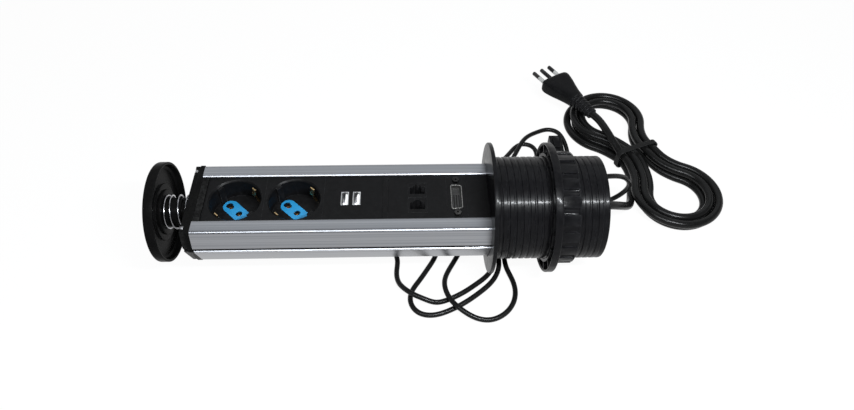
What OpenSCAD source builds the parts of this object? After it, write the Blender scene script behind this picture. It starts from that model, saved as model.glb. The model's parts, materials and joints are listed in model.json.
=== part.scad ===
// Pop up desk socket: a socket tower that slides in a threaded desk tube, lying on its side.
// X runs along the tower, from the push cap to the open end of the tube. Z is up.
// Places along the tower are counted from the outer face of the desk flange.

/* [Desk tube] */
// Hole that is cut in the desk
hole_d = 80; // [70:1:90]
// Play of the tube in that hole
hole_play = 0.4; // [0.2:0.1:1]
// Flange that rests on the desk
flange_d = 102; // [96:1:110]
// Thickness of that flange
flange_t = 3; // [2:0.5:5]
// Tube below the flange
tube_l = 83; // [78:1:100]
// Wall of the tube
tube_wall = 1.9; // [1.6:0.1:2.4]
// Pitch of the thread
thread_pitch = 5; // [4:0.5:6]
// Depth of the thread
thread_depth = 0.8; // [0.4:0.1:1]
// Length of the mouth that guides the tower
guide_l = 16; // [10:1:22]
// Play of the tower in that mouth
guide_play = 0.3; // [0.2:0.05:0.5]

/* [Nut] */
// Step of the pressure ring inside the flange's edge
ring_step = 0.4; // [0.2:0.1:2]
// Thickness of that ring
ring_t = 5.6; // [4:0.2:8]
// Place of its front behind the flange's outer face
ring_at = 43.6; // [30:0.2:50]
// Webs round its hollow front
ring_webs = 16; // [12:1:30]
// Wall of the lock nut, over its ribs
grip_h = 3.75; // [3:0.05:5]
// Length of the grip
grip_l = 15; // [10:0.5:18]
// Ribs round the grip
grip_ribs = 20; // [16:1:44]
// Play of ring and nut on the tube
thread_play = 0.35; // [0.2:0.05:0.6]

/* [Tower] */
// Play of the tower and its foot in the tube
bore_play = 0.4; // [0.3:0.05:0.8]
// Blank panel that ends in the tube's mouth
blank_l = 33.1; // [28:0.1:60]
// Wall of the profile
profile_wall = 2; // [1.6:0.1:2.6]
// Direction of the corners beside the socket face
face_angle = 25; // [22:0.5:28]
// Width and length of a standard insert
module_w = 45; // [44:0.5:46]
// Edge of the inserts under the rails
rail_lip = 0.5; // [0.3:0.1:1]
// Depth of the inserts below the rails
panel_drop = 2.5; // [1.5:0.1:3]
// Thickness of the inserts' front plates
plate_t = 2.4; // [2:0.1:3]
// Guide groove along each side
groove_w = 3; // [2.4:0.1:4]
// Depth of that groove
groove_d = 1.6; // [1:0.1:2]
// Screw holes in the ends of the profile
port_d = 3; // [2.6:0.1:3.4]

/* [End cap] */
// Thickness of the end cap
end_t = 7.2; // [6:0.2:9]
// Its outer step, seen as a line
end_step = 0.7; // [0.4:0.1:1]
// Its tongue in front of the first socket
tongue_l = 5; // [3:0.5:7]
// Guide tube for the push cap
post_d = 18.2; // [16:0.2:19]
// Bore of that guide tube
post_bore = 13; // [11:0.2:14]
// Foot plate that stops the tower
foot_t = 8; // [6:0.5:10]
// Play of the foot at the end of the guide
stop_play = 0.3; // [0.2:0.1:0.6]

/* [Sockets] */
// Round cup that takes a plug
cup_d = 39; // [38.6:0.1:39.4]
// Depth of the cup
cup_depth = 17; // [15:0.5:18]
// Wall of the cup
cup_wall = 1; // [0.8:0.1:1.2]
// Floor of the cup
cup_floor = 4; // [3.4:0.2:5]
// Blue insert, length
insert_l = 33; // [31:0.5:34]
// Blue insert, width
insert_w = 12; // [11:0.5:13]
// Blue insert, height
insert_h = 3.2; // [2.8:0.1:3.6]
// Pin holes from the middle
pin_pitch = 11; // [9.5:0.5:12]

/* [Panels] */
// Strip between the charger and the data panel
divider_l = 4; // [3:0.5:6]
// Panel with the video socket
video_l = 15; // [14:0.5:17]
// Distance between the two charger ports
usb_pitch = 9; // [8.5:0.1:11]
// Shell of a charger port, across the tower
usb_w = 13.2; // [13:0.1:14.4]
// Shell of a charger port, along the tower
usb_h = 5.8; // [5.6:0.1:6.6]
// Data jack, along the tower
jack_l = 14.4; // [14:0.1:15]
// Data jack, across the tower
jack_w = 14.8; // [14.4:0.1:15.4]
// Video shell, across the tower
video_w = 24.6; // [24:0.1:25.2]
// Video shell, along the tower
video_h = 8.6; // [8.2:0.1:9]
// Distance between the jack screws
jack_screws = 33.3; // [33:0.1:34]

/* [Screws] */
// Heads of the screws in the ends of the tower
head_d = 5.6; // [5:0.1:6]
// Height of those heads
head_h = 2; // [1.6:0.1:2.4]
// Play round a head in its pocket
head_play = 0.6; // [0.4:0.1:1]
// Length of a screw in the profile
screw_l = 8; // [6:0.5:12]

/* [Push cap] */
// Push cap that closes the flange
cap_d = 77.2; // [76.4:0.2:80]
// Height of the cap with its rim
cap_h = 7.5; // [6:0.5:9]
// Thickness of the cap's top
cap_top = 2.5; // [2:0.1:3.5]
// Gap between the cap and the end cap
cap_gap = 22; // [20:0.5:26]
// Stroke of the cap
cap_stroke = 12; // [8:0.5:13]
// Sleeve of the cap, outside
sleeve_d = 22; // [21:0.2:23]
// Flange at the foot of that sleeve
stem_d = 34.4; // [30:0.2:38]
// Play of that flange in the cap
stem_play = 0.4; // [0.2:0.1:0.8]
// Turns of the spring
spring_turns = 4; // [3:0.5:6]
// Wire of the spring
spring_wire = 1.2; // [1:0.1:1.6]
// Spring, outside
spring_d = 26.8; // [26:0.2:30]

/* [Leads] */
// Mains lead
mains_d = 7; // [6.4:0.1:7.2]
// Data cables
data_d = 4.2; // [3.8:0.1:4.2]
// Strain relief of the mains lead
gland_l = 26; // [20:1:30]
// Loops of the hank
hank_loops = 4; // [4:1:4]
// Distance from loop to loop
hank_pitch = 7.8; // [7.6:0.1:9]
// Height from layer to layer
hank_layer = 7.6; // [7.5:0.1:8.4]
// Plug pins from centre to centre
plug_pitch = 9.5; // [9.5:0.5:9.5]
// Diameter of the plug pins
plug_pin_d = 4; // [4:0.1:4.2]

/* [Hidden] */
$fn = 96;
e = 0.01;
round_n = 40;
axis_z = flange_d / 2;
tube_r = (hole_d - hole_play) / 2;
bore_r = tube_r - tube_wall;
guide_r = bore_r - bore_play + guide_play;
section_r = bore_r - bore_play;
tube_end = flange_t + tube_l;
ring_r = flange_d / 2 - ring_step;
ring_bore = tube_r + thread_play;
grip_r = ring_bore + grip_h;
nut_at = ring_at + ring_t + 0.2;

// Corners of the tower's section, as directions seen from its axis.
section_angles = [face_angle, 2.3, -4.6, -40.5, -73];
face_z = section_r * sin(face_angle);
panel_z = face_z - panel_drop;
ledge_z = panel_z - plate_t;
cup_r = cup_d / 2;
channel_w = cup_d + 2 * cup_wall + 0.4;
profile_end = guide_l + stop_play;
profile_l = tongue_l + 4 * module_w + divider_l + video_l + blank_l;
tower_out = profile_l - profile_end;
port_y = 28.5;
port_z = (face_z + ledge_z) / 2 - 0.6;
low_port = [24.4, -21.6];
groove_z = section_r * (sin(2.3) - sin(4.6)) / 2;

// Places along the tower, from the flange's outer face.
tower_top = -tower_out;
socket_1_at = tower_top + tongue_l;
socket_2_at = socket_1_at + module_w;
usb_at = socket_2_at + module_w;
divider_at = usb_at + module_w;
data_at = divider_at + divider_l;
video_at = data_at + module_w;
blank_at = video_at + video_l;
end_face = tower_top - end_t;
cap_inner = end_face - cap_gap;
cap_outer = cap_inner - cap_top;
cap_lip = cap_outer + cap_h;
foot_back = profile_end + foot_t;
post_end = cap_inner + cap_stroke + 0.3;
sleeve_end = post_end + 3.5;
sleeve_pocket = sleeve_end + cap_stroke + 0.5;
boss_1 = 1.5;
boss_2 = 3;
x_shift = -(cap_outer + tube_end) / 2;

// Gland on the foot, across and above the axis.
gland_yz = [6, -8];
gland_nut = 3;

// Data cable routes: along from the flange, across, and height of the middle.
route_1 = [
  [foot_back, 16, axis_z + 8], [34, 16, axis_z + 8], [60, 18.5, 58.4], [84, 24.5, 57], [102, 30.5, 53],
  [115, 36.5, 46], [124, 41.5, 36], [128, 45, 25], [126, 47, 14.4], [119, 47, 6.6], [110, 45.5, 3],
  [100, 43, 2.1], [88, 39.5, 2.1], [74, 36, 2.1], [58, 33.5, 2.1], [38, 31, 2.1], [25, 27.5, 2.1],
  [18, 19, 2.1], [17.1, 6, 2.1], [17.1, -10, 2.1], [17.8, -22, 2.1], [21.5, -35, 2.1], [22.5, -47, 2.1],
  [19, -58, 2.1], [11, -67, 2.1], [0, -71.5, 2.4], [-11, -70.5, 4.4], [-21, -65, 6.8], [-29, -56, 7],
  [-33, -45, 6.4], [-32.5, -33, 3.8], [-28, -22, 2.3], [-21, -9, 2.1], [-14, 8, 2.1], [-8, 30, 2.1],
  [-1, 54, 2.1], [8, 75, 2.1], [19, 91, 2.1], [30, 103.4, 2.1], [35.5, 110.5, 2.1], [40.3, 116.5, 2.1],
  [45.8, 120.4, 2.1], [52.3, 120.5, 2.1], [57.4, 116.9, 2.1], [59.5, 111, 2.1], [59.5, 104, 2.1],
  [59, 96, 2.1], [58.7, 88.4, 2.1], [60.5, 82.2, 2.3], [65.7, 78.2, 2.6], [72, 78.2, 3.1], [77.2, 82.2, 3.6],
  [79, 88.4, 4], [79, 98, 4]
];
route_2 = [
  [foot_back, 22, axis_z - 4], [34, 22, axis_z - 4], [60, 24.4, 47], [82, 28.5, 45], [92, 34, 42],
  [97, 42, 36.5], [96, 51, 29], [89, 57, 20], [79, 58.5, 11.4], [68, 56.4, 5.2], [57, 52.8, 2.5],
  [43, 48, 2.1], [29, 42.5, 2.1], [18, 34.5, 2.1], [13.2, 23, 2.1], [12.2, 8, 2.1], [12.25, -8, 2.1],
  [12, -20, 2.1], [7, -33, 2.1], [-5.5, -46, 2.1], [-19, -56, 2.1], [-32, -63, 2.1], [-44, -66.3, 2.1],
  [-54, -64, 2.1], [-60, -56, 2.1], [-60, -46, 2.1], [-54, -35, 2.1], [-46, -22, 2.1], [-39, -8, 2.1],
  [-38, 7, 2.1], [-46, 21, 2.1], [-62, 30, 2.1], [-88, 34, 2.1], [-114, 35, 2.1], [-127, 31, 2.1],
  [-131.5, 21.5, 2.1], [-126, 12, 2.1], [-108, 7, 2.1], [-88, 4, 2.1], [-76, -2, 2.1], [-71, -13, 2.1],
  [-71.5, -25, 2.2], [-70, -36, 3.6], [-65, -44.5, 6.4], [-58, -50.5, 7.3], [-50, -54, 6.2], [-41, -55.5, 3.4],
  [-31, -52.5, 2.2], [-18, -45.5, 2.1], [-7, -37.5, 2.1], [2, -29.4, 2.1], [6.9, -20.6, 2.1], [7.4, -8, 2.1],
  [7.4, 20, 2.1], [10.4, 44, 2.1], [20, 70, 2.1], [31, 92, 2.1], [40, 107, 4.8], [48, 120.5, 7.3],
  [57, 131, 5], [66, 138, 2.5], [75, 141, 2.1], [83, 138, 2.1], [87.5, 129, 2.2], [88.8, 118, 2.9],
  [88.6, 109, 4], [88.3, 103.27, 4]
];
lead_rings_1 = 12;
lead_rings_2 = 12;

// Mains lead: hand-chosen run from the gland to the hank, and tail from the hank to the plug.
run_points = [
  [foot_back + gland_l, gland_yz[0], axis_z + gland_yz[1]], [60, gland_yz[0], axis_z + gland_yz[1]],
  [74, 6.6, 42.8], [88, 9, 41.4], [101, 13.2, 37], [112.5, 19, 29.6], [121.6, 26, 20.8], [128.2, 33.5, 12.8],
  [132.6, 41.2, 7], [135.4, 48.6, 4.2], [137.6, 56.5, 3.5], [139.6, 68.5, 3.5], [139.6, 80, 3.9]
];
tail_points = [
  [132.2, 100.6, 15.7], [127.6, 110.6, 19], [123.2, 122, 21.6], [118.69, 133.39, 22.4], [114.5, 140.5, 22.4]
];
hank_at = [153.5, 98];
hank_turn = -66;
lobe_at = 54;
lobe_r = 24;
hank_waist = 4.2;
waist_lift = 2;
tie_at = -3;
tie_w = 5;
tie_t = 1.2;
plug_turn = 120.5;
plug_tail = 23;
plug_l = 36;
plug_w = 31;
plug_h = 15;
plug_pin_l = 19;

// Shared placing.
module along(at, l) {
  translate([at + x_shift, 0, axis_z])
    rotate([90, 0, 90])
      linear_extrude(l)
        children();
}

module turned(at) {
  translate([at + x_shift, 0, axis_z])
    rotate([0, 90, 0])
      rotate_extrude()
        children();
}

module on_panel(at, across = 0) {
  translate([at + x_shift, across, axis_z + panel_z])
    children();
}

module both_sides() {
  children();
  mirror([1, 0])
    children();
}

// Outline of the tower about its axis, with its corners on a circle of radius r.
module tower_outline(r) {
  half = [for (a = section_angles) [r * cos(a), r * sin(a)]];
  far = [for (i = [len(half) - 1:-1:0]) [-half[i][0], half[i][1]]];
  polygon(concat(half, far));
}

module side_grooves(w, d, r) {
  both_sides()
    translate([r - d, groove_z - w / 2])
      square([d + 3, w]);
}

module screw_ports(d) {
  both_sides() {
    translate([port_y, port_z])
      circle(d = d, $fn = 24);
    translate(low_port)
      circle(d = d, $fn = 24);
  }
}

// Tube along a list of points: n-sided rings square to the path, closed by flat ends.
function unit(v) = v / norm(v);
function path_dir(p, i) = unit(p[min(i + 1, len(p) - 1)] - p[max(i - 1, 0)]);
function side_dir(t) = unit(abs(t[2]) > 0.95 ? cross([0, 1, 0], t) : cross([0, 0, 1], t));
function ring_at_point(c, t, r, n) =
  let (u = side_dir(t), v = cross(t, u))
  [for (k = [0:n - 1]) c + r * (cos(360 * k / n) * u + sin(360 * k / n) * v)];

module swept(p, dirs, r, n) {
  m = len(p);
  points = [for (i = [0:m - 1]) each ring_at_point(p[i], dirs[i], r, n)];
  walls = [for (i = [0:m - 2], k = [0:n - 1])
    let (a = i * n + k, b = i * n + (k + 1) % n)
    each [[a, b, b + n], [a, b + n, a + n]]];
  first = [for (k = [1:n - 2]) [0, k + 1, k]];
  last = [for (k = [1:n - 2]) [(m - 1) * n, (m - 1) * n + k, (m - 1) * n + k + 1]];
  polyhedron([for (q = points) q + [x_shift, 0, 0]], [for (f = concat(walls, first, last)) [f[0], f[2], f[1]]]);
}

function dirs_of(p) = [for (i = [0:len(p) - 1]) path_dir(p, i)];
function part_of(list, a, b) = [for (i = [a:b]) list[i]];

// Hank: a loop of two round lobes and a drawn-in waist, each quarter of it two arcs that touch. From turn to
// turn it is offset, inwards on the floor and outwards on top.
waist_r = (pow(lobe_at, 2) + pow(hank_waist, 2) - pow(lobe_r, 2)) / (2 * (lobe_r - hank_waist));
waist_angle = atan2(lobe_at, hank_waist + waist_r);
lobe_angle = 90 + waist_angle;
arc_share = waist_r * waist_angle / (waist_r * waist_angle + lobe_r * lobe_angle);
function quarter(s) =
  s < arc_share
  ? let (a = waist_angle * s / arc_share) [waist_r * sin(a), hank_waist + waist_r * (1 - cos(a))]
  : let (a = lobe_angle * (1 - s) / (1 - arc_share)) [lobe_at + lobe_r * cos(a), lobe_r * sin(a)];
function hank_base(k) =
  let (
    turn = 4 * (k - floor(k)),
    f = turn - 2 * floor(turn / 2),
    part = 1 - abs(1 - f),
    xy = quarter(part * (1.3 - 0.3 * part))
  )
  [turn < 2 ? -xy[0] : xy[0], turn < 1 || turn > 3 ? -xy[1] : xy[1]];
function hank_side(k) =
  let (d = hank_base(k + 0.002) - hank_base(k - 0.002))
  unit([-d[1], d[0]]);
function hank_climb(k) =
  let (s = min(1, max(0, (k - hank_loops / 2) * 2 + 0.5)))
  s * s * (3 - 2 * s);
function hank_point(k) =
  let (
    q = abs(k - hank_loops / 2) - 0.25,
    b = hank_base(k) + q * hank_pitch * hank_side(k),
    lift = waist_lift * exp(-b[0] * b[0] / 144)
  )
  [
    hank_at[0] + b[0] * cos(hank_turn) - b[1] * sin(hank_turn),
    hank_at[1] + b[0] * sin(hank_turn) + b[1] * cos(hank_turn),
    mains_d / 2 + lift + hank_layer * hank_climb(k)
  ];
hank_points = [for (i = [0:24 * hank_loops]) hank_point(i / 24)];
mains_points = concat(run_points, hank_points, tail_points);

// Spring: one wire, its ends drawn flat against their seats.
spring_from = cap_inner + boss_2;
spring_l = end_face - spring_from;
spring_r = (spring_d - spring_wire) / 2;
spring_steps = 8 * spring_turns;
function spring_rise(u) =
  let (w = min(1, max(0, (u * spring_turns - 0.75) / (spring_turns - 1.5))))
  spring_wire / 2 + (spring_l - spring_wire - 1.5 * spring_wire * 1.3) * w
    + spring_wire * 1.3 * (min(u * spring_turns, 0.75) + max(0, u * spring_turns - spring_turns + 0.75));
function spring_point(u) =
  [spring_from + spring_rise(u), spring_r * cos(360 * u * spring_turns), axis_z + spring_r * sin(360 * u * spring_turns)];
spring_points = [for (i = [0:spring_steps]) spring_point(i / spring_steps)];

// Least gap of a wound tube to itself, on points more than a few rings apart.
function self_gap(p, d, apart) =
  min([for (i = [0:len(p) - 1], j = [i + apart:1:len(p) - 1]) norm(p[i] - p[j])]) - d;
echo(hank_gap = self_gap(mains_points, mains_d, 6));
echo(spring_gap = self_gap(spring_points, spring_wire, 6));
echo(cable_gaps = [self_gap(route_1, data_d, 4), self_gap(route_2, data_d, 4)]);

// Desk tube and nut.
module threaded_tube() {
  color("#17181a") {
    difference() {
      turned(0)
        difference() {
          polygon([
            [0, 0], [axis_z - 1, 0], [axis_z, 1], [axis_z, flange_t - 0.4], [axis_z - 0.4, flange_t],
            [tube_r, flange_t], [tube_r, tube_end - 1.2], [tube_r - 1, tube_end], [0, tube_end]
          ]);
          translate([-1, guide_l])
            square([bore_r + 1, tube_end]);
          for (s = [flange_t + 4.5:thread_pitch:tube_end - 3.5])
            polygon([
              [tube_r + e, s - 1], [tube_r - thread_depth, s - 0.5], [tube_r - thread_depth, s + 0.5],
              [tube_r + e, s + 1]
            ]);
        }
      along(-1, guide_l + 2)
        difference() {
          tower_outline(guide_r);
          side_grooves(groove_w - 2 * guide_play, groove_d - guide_play, section_r);
        }
    }
  }
}

module pressure_ring() {
  color("#1b1c1e") {
    turned(ring_at)
      polygon([
        [ring_bore, 0], [ring_bore + 2.4, 0], [ring_bore + 2.4, ring_t - 2.2], [ring_r - 2, ring_t - 2.2],
        [ring_r - 2, 0.8], [ring_r - 1.2, 0], [ring_r - 0.4, 0], [ring_r, 0.4], [ring_r, ring_t - 0.4],
        [ring_r - 0.4, ring_t], [ring_bore, ring_t]
      ]);
    for (i = [0:ring_webs - 1])
      translate([ring_at + x_shift, 0, axis_z])
        rotate([i * 360 / ring_webs, 0, 0])
          translate([0.8, ring_bore + 1.2, -0.7])
            cube([ring_t - 2, ring_r - 2 - ring_bore, 1.4]);
  }
}

module lock_nut() {
  root_r = grip_r - 1.4;
  rib_w = 2 * 180 * root_r / (57.2958 * grip_ribs) * 0.62;
  color("#1b1c1e") {
    turned(nut_at)
      polygon([
        [ring_bore, 0], [grip_r, 0], [grip_r, 1.4], [root_r, 2], [root_r, grip_l - 2.2],
        [root_r + 0.6, grip_l - 1.8], [root_r + 0.6, grip_l - 0.4], [root_r, grip_l], [ring_bore, grip_l]
      ]);
    for (i = [0:grip_ribs - 1])
      translate([nut_at + x_shift, 0, axis_z])
        rotate([i * 360 / grip_ribs, 0, 0])
          translate([0.5, root_r - 1, -rib_w / 2])
            cube([grip_l - 1.5, 2.1, rib_w]);
  }
}

// Tower.
module profile_section() {
  inner = section_r - profile_wall / cos(20);
  difference() {
    tower_outline(section_r);
    difference() {
      intersection() {
        tower_outline(inner);
        translate([-section_r, -section_r])
          square([2 * section_r, section_r + ledge_z - 1.6]);
      }
      both_sides() {
        translate(low_port)
          circle(d = port_d + 4.4, $fn = 32);
        translate([section_r - groove_d - profile_wall, groove_z - groove_w / 2 - profile_wall])
          square([profile_wall + groove_d, groove_w + 2 * profile_wall]);
      }
    }
    translate([-channel_w / 2, 0])
      square([channel_w, section_r]);
    translate([-module_w / 2 - 0.1, ledge_z])
      square([module_w + 0.2, plate_t + 0.1]);
    translate([-module_w / 2 + rail_lip, ledge_z])
      square([module_w - 2 * rail_lip, section_r]);
    side_grooves(groove_w, groove_d, section_r);
    screw_ports(port_d);
  }
}

module tower_profile() {
  color("#a9abb0")
    along(tower_top, profile_l)
      profile_section();
}

module end_cap() {
  color("#141517")
    difference() {
      union() {
        along(tower_top - end_t / 2, end_t / 2)
          difference() {
            tower_outline(section_r);
            side_grooves(groove_w, groove_d, section_r);
          }
        along(end_face, end_t / 2 + e)
          difference() {
            tower_outline(section_r - end_step);
            side_grooves(groove_w, groove_d, section_r);
          }
        along(tower_top - e, tongue_l + e)
          translate([-module_w / 2, ledge_z])
            square([module_w, plate_t]);
        along(tower_top - e, tongue_l + e)
          translate([-module_w / 2 + rail_lip + 0.2, panel_z - e])
            square([module_w - 2 * rail_lip - 0.4, panel_drop * 0.6]);
        turned(post_end)
          square([post_d / 2, end_face - post_end + 1]);
      }
      turned(post_end + 2)
        square([post_bore / 2, tower_top - post_end + 5]);
      turned(post_end - 1)
        square([3.2, 5]);
      turned(end_face - e)
        translate([post_d / 2, 0])
          square([sleeve_d / 2 + 0.3 - post_d / 2, sleeve_pocket - end_face]);
      along(end_face - 1, end_t + 2)
        screw_ports(port_d + 0.4);
      along(end_face - e, head_h + 0.2)
        screw_ports(head_d + head_play);
    }
}

module end_cap_screws() {
  color("#6f7176") {
    along(end_face + 0.2, head_h - e)
      difference() {
        screw_ports(head_d);
        both_sides() {
          translate([port_y, port_z])
            square([3.2, 0.8], center = true);
          translate(low_port)
            square([3.2, 0.8], center = true);
        }
      }
    along(end_face + head_h - 0.8, end_t + screw_l)
      screw_ports(port_d - 0.1);
  }
}

module foot_plate() {
  color("#1d1e20")
    difference() {
      turned(profile_end)
        polygon([
          [0, 0], [section_r, 0], [section_r, foot_t - 1.2], [section_r - 1.2, foot_t], [0, foot_t]
        ]);
      along(profile_end - 1, foot_t + 2)
        translate(gland_yz)
          circle(d = mains_d + 4, $fn = 32);
      along(profile_end - 1, foot_t + 2)
        screw_ports(port_d + 0.4);
      along(foot_back - head_h - 0.2, head_h + 2)
        screw_ports(head_d + head_play);
    }
}

module foot_screws() {
  color("#6f7176") {
    along(foot_back - head_h - 0.2 + e, head_h - e)
      screw_ports(head_d);
    along(profile_end - screw_l, foot_t + screw_l - 1)
      screw_ports(port_d - 0.1);
  }
}

// Sockets.
module stadium(l, w) {
  square([l - w, w], center = true);
  translate([(l - w) / 2, 0])
    circle(d = w, $fn = round_n);
  translate([-(l - w) / 2, 0])
    circle(d = w, $fn = round_n);
}

module socket(at) {
  outer = cup_r + cup_wall;
  color("#121315")
    on_panel(at + module_w / 2)
      difference() {
        union() {
          translate([0, 0, -plate_t / 2])
            cube([module_w, module_w, plate_t], center = true);
          translate([0, 0, -cup_depth - cup_floor])
            cylinder(r = outer, h = cup_depth + cup_floor);
        }
        difference() {
          translate([0, 0, -cup_depth])
            cylinder(r = cup_r, h = cup_depth + 1);
          rotate([0, 0, -45])
            for (s = [-1, 1])
              translate([s * (cup_r - 0.7), 0, -cup_depth / 2 - 1.5])
                cube([3, 4.6, cup_depth + 3], center = true);
        }
        translate([0, 0, -1.2])
          cylinder(r1 = cup_r - 0.1, r2 = cup_r + 1.2, h = 1.21);
        rotate([0, 0, -45]) {
          translate([0, 0, -cup_depth - 2.6])
            linear_extrude(cup_depth)
              intersection() {
                stadium(insert_l + 0.2, insert_w + 0.2);
                circle(r = cup_r - 2.2);
              }
          for (x = [-pin_pitch, 0, pin_pitch])
            translate([x, 0, -cup_depth - cup_floor - 1])
              cylinder(d = 6, h = cup_floor + 2, $fn = round_n);
        }
      }
}

module socket_insert(at) {
  color("#1d86d0")
    on_panel(at + module_w / 2)
      rotate([0, 0, -45])
        translate([0, 0, -cup_depth - 2.6])
          linear_extrude(insert_h)
            difference() {
              intersection() {
                stadium(insert_l, insert_w);
                circle(r = cup_r - 2.3);
              }
              circle(d = 5.2, $fn = round_n);
              for (s = [-1, 1]) {
                translate([s * (pin_pitch - 1.2), 0])
                  circle(d = 4.4, $fn = round_n);
                translate([s * (pin_pitch + 1.2), 0])
                  circle(d = 5.4, $fn = round_n);
              }
            }
}

// Sprung earth strip: one bent blade, standing on the cup's floor.
module earth_blade() {
  rotate([90, 0, 0])
    translate([0, 0, -2])
      linear_extrude(4)
        polygon([
          [cup_r - 0.1, -cup_depth], [cup_r - 0.1, -13], [cup_r - 2.6, -8], [cup_r - 1.2, -4], [cup_r - 1.4, -2],
          [cup_r - 2.3, -2.3], [cup_r - 2.1, -4.1], [cup_r - 3.7, -8], [cup_r - 1, -13.2], [cup_r - 1, -cup_depth]
        ]);
}

module earth_clips(at) {
  color("#b08a4e")
    on_panel(at + module_w / 2)
      rotate([0, 0, 45]) {
        earth_blade();
        rotate([0, 0, 180])
          earth_blade();
      }
}

// Busbar under both sockets, with a split sleeve for each pin.
module busbar(along_pin) {
  y = -along_pin * sin(45);
  x = along_pin * cos(45);
  top = -cup_depth - cup_floor;
  color("#b58f55") {
    for (at = [socket_1_at, socket_2_at])
      on_panel(at + module_w / 2 + x, y)
        difference() {
          translate([0, 0, top - 8])
            cylinder(d = 7, h = 8, $fn = round_n);
          translate([0, 0, top - 7])
            cylinder(d = 5, h = 8, $fn = round_n);
          translate([0, 0, top - 2])
            cube([8, 0.8, 9], center = true);
        }
    on_panel(socket_1_at + module_w / 2 + x, y)
      translate([-4, -2.6, top - 9])
        cube([module_w + 8, 5.2, 1.01]);
  }
}

// Panels.
module panel(at, l, proud = 0) {
  on_panel(at + l / 2)
    difference() {
      union() {
        translate([0, 0, -plate_t / 2])
          cube([l, module_w, plate_t], center = true);
        if (proud > 0)
          translate([0, 0, proud / 2 - e])
            cube([l, module_w - 2 * rail_lip - 0.4, proud], center = true);
      }
      children();
    }
}

usb_mid = -2;

module usb_panel() {
  color("#131416")
    panel(usb_at, module_w)
      for (s = [-1, 1])
        translate([usb_mid + s * usb_pitch / 2, 0, 0])
          cube([usb_h, usb_w, 3 * plate_t], center = true);
}

module usb_shells() {
  color("#c9cacc")
    on_panel(usb_at + module_w / 2 + usb_mid)
      for (s = [-1, 1])
        translate([s * usb_pitch / 2, 0, 0])
          difference() {
            translate([-usb_h / 2, -usb_w / 2, -13])
              cube([usb_h, usb_w, 13]);
            translate([-usb_h / 2 + 0.4, -usb_w / 2 + 0.4, -12.4])
              cube([usb_h - 0.8, usb_w - 0.8, 13]);
          }
}

module usb_tongues() {
  color("#e6e6e2")
    on_panel(usb_at + module_w / 2 + usb_mid)
      for (s = [-1, 1])
        translate([s * usb_pitch / 2 + 0.4, -5.5, -12.4])
          cube([1.9, 11, 10.8]);
}

module usb_board() {
  color("#1f5a36")
    on_panel(usb_at + module_w / 2 + usb_mid)
      translate([-15, -14, -14.6])
        cube([34, 28, 1.6]);
}

module divider_strip() {
  color("#0f1011")
    panel(divider_at, divider_l, 0.6);
}

jack_y = jack_w / 2 + 0.3;

module data_panel() {
  color("#141517")
    panel(data_at, module_w)
      for (s = [-1, 1])
        translate([0, s * jack_y, 0])
          cube([jack_l, jack_w, 3 * plate_t], center = true);
}

// Mouth of a data jack: a wide slot with the latch's two steps at its side.
module jack_mouth() {
  translate([-5.9, -3.9])
    square([11.8, 6.9]);
  translate([-3.1, 2.9])
    square([6.2, 1.6]);
  translate([-2, 4.4])
    square([4, 1.4]);
}

module data_jack(side) {
  color("#0e0f10")
    on_panel(data_at + module_w / 2, side * jack_y)
      difference() {
        translate([-jack_l / 2, -jack_w / 2, -22])
          cube([jack_l, jack_w, 22]);
        translate([0, 0, -13])
          linear_extrude(14)
            jack_mouth();
      }
}

module jack_contacts(side) {
  color("#c7a24a")
    on_panel(data_at + module_w / 2, side * jack_y)
      for (i = [0:7])
        translate([(i - 3.5) * 1.2 - 0.25, -3.9, -13])
          rotate([90, 0, 90])
            linear_extrude(0.5)
              polygon([[0, 0], [0.6, 0], [0.6, 4], [3, 9.4], [2.5, 9.7], [0, 4.4]]);
}

// Rounded D outline of the video socket.
module video_outline(w, h) {
  polygon([
    [-h / 2 + 1, -w / 2], [h / 2 - 1, -w / 2 + 0.6], [h / 2, -w / 2 + 1.6], [h / 2, w / 2 - 1.6],
    [h / 2 - 1, w / 2 - 0.6], [-h / 2 + 1, w / 2], [-h / 2, w / 2 - 1], [-h / 2, -w / 2 + 1]
  ]);
}

module video_panel() {
  color("#131416")
    panel(video_at, video_l) {
      translate([0, 0, -plate_t - 1])
        linear_extrude(2 * plate_t + 2)
          video_outline(video_w + 0.2, video_h + 0.2);
      for (s = [-1, 1])
        translate([0, s * jack_screws / 2, -plate_t - 1])
          cylinder(d = 3.4, h = plate_t + 2, $fn = 24);
    }
}

module video_shell() {
  color("#9d9fa3")
    on_panel(video_at + video_l / 2)
      difference() {
        union() {
          translate([0, 0, -9])
            linear_extrude(9.8)
              video_outline(video_w, video_h);
          translate([-6, -19.4, -plate_t - 1])
            cube([12, 38.8, 1]);
        }
        translate([0, 0, -8])
          linear_extrude(10)
            video_outline(video_w - 1, video_h - 1);
        for (s = [-1, 1])
          translate([0, s * jack_screws / 2, -plate_t - 2])
            cylinder(d = 3.4, h = 4, $fn = 24);
      }
}

module video_insert() {
  color("#1a1a1a")
    on_panel(video_at + video_l / 2)
      difference() {
        translate([0, 0, -8])
          linear_extrude(5.6)
            video_outline(video_w - 1, video_h - 1);
        for (x = [-1.9, 0, 1.9])
          translate([x - 0.45, -9.6, -4.4])
            cube([0.9, 14, 3]);
        translate([-2.6, 7, -4.4])
          cube([5.2, 0.7, 3]);
      }
}

module video_screws() {
  color("#8f9195")
    on_panel(video_at + video_l / 2)
      for (s = [-1, 1])
        translate([0, s * jack_screws / 2, 0])
          difference() {
            union() {
              cylinder(d = 5.4, h = 2.2, $fn = 6);
              translate([0, 0, -6])
                cylinder(d = 3, h = 6 + e, $fn = 24);
            }
            translate([0, 0, -3])
              cylinder(d = 1.9, h = 6, $fn = 20);
          }
}

module blank_panel() {
  color("#161719")
    panel(blank_at, blank_l);
}

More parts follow.
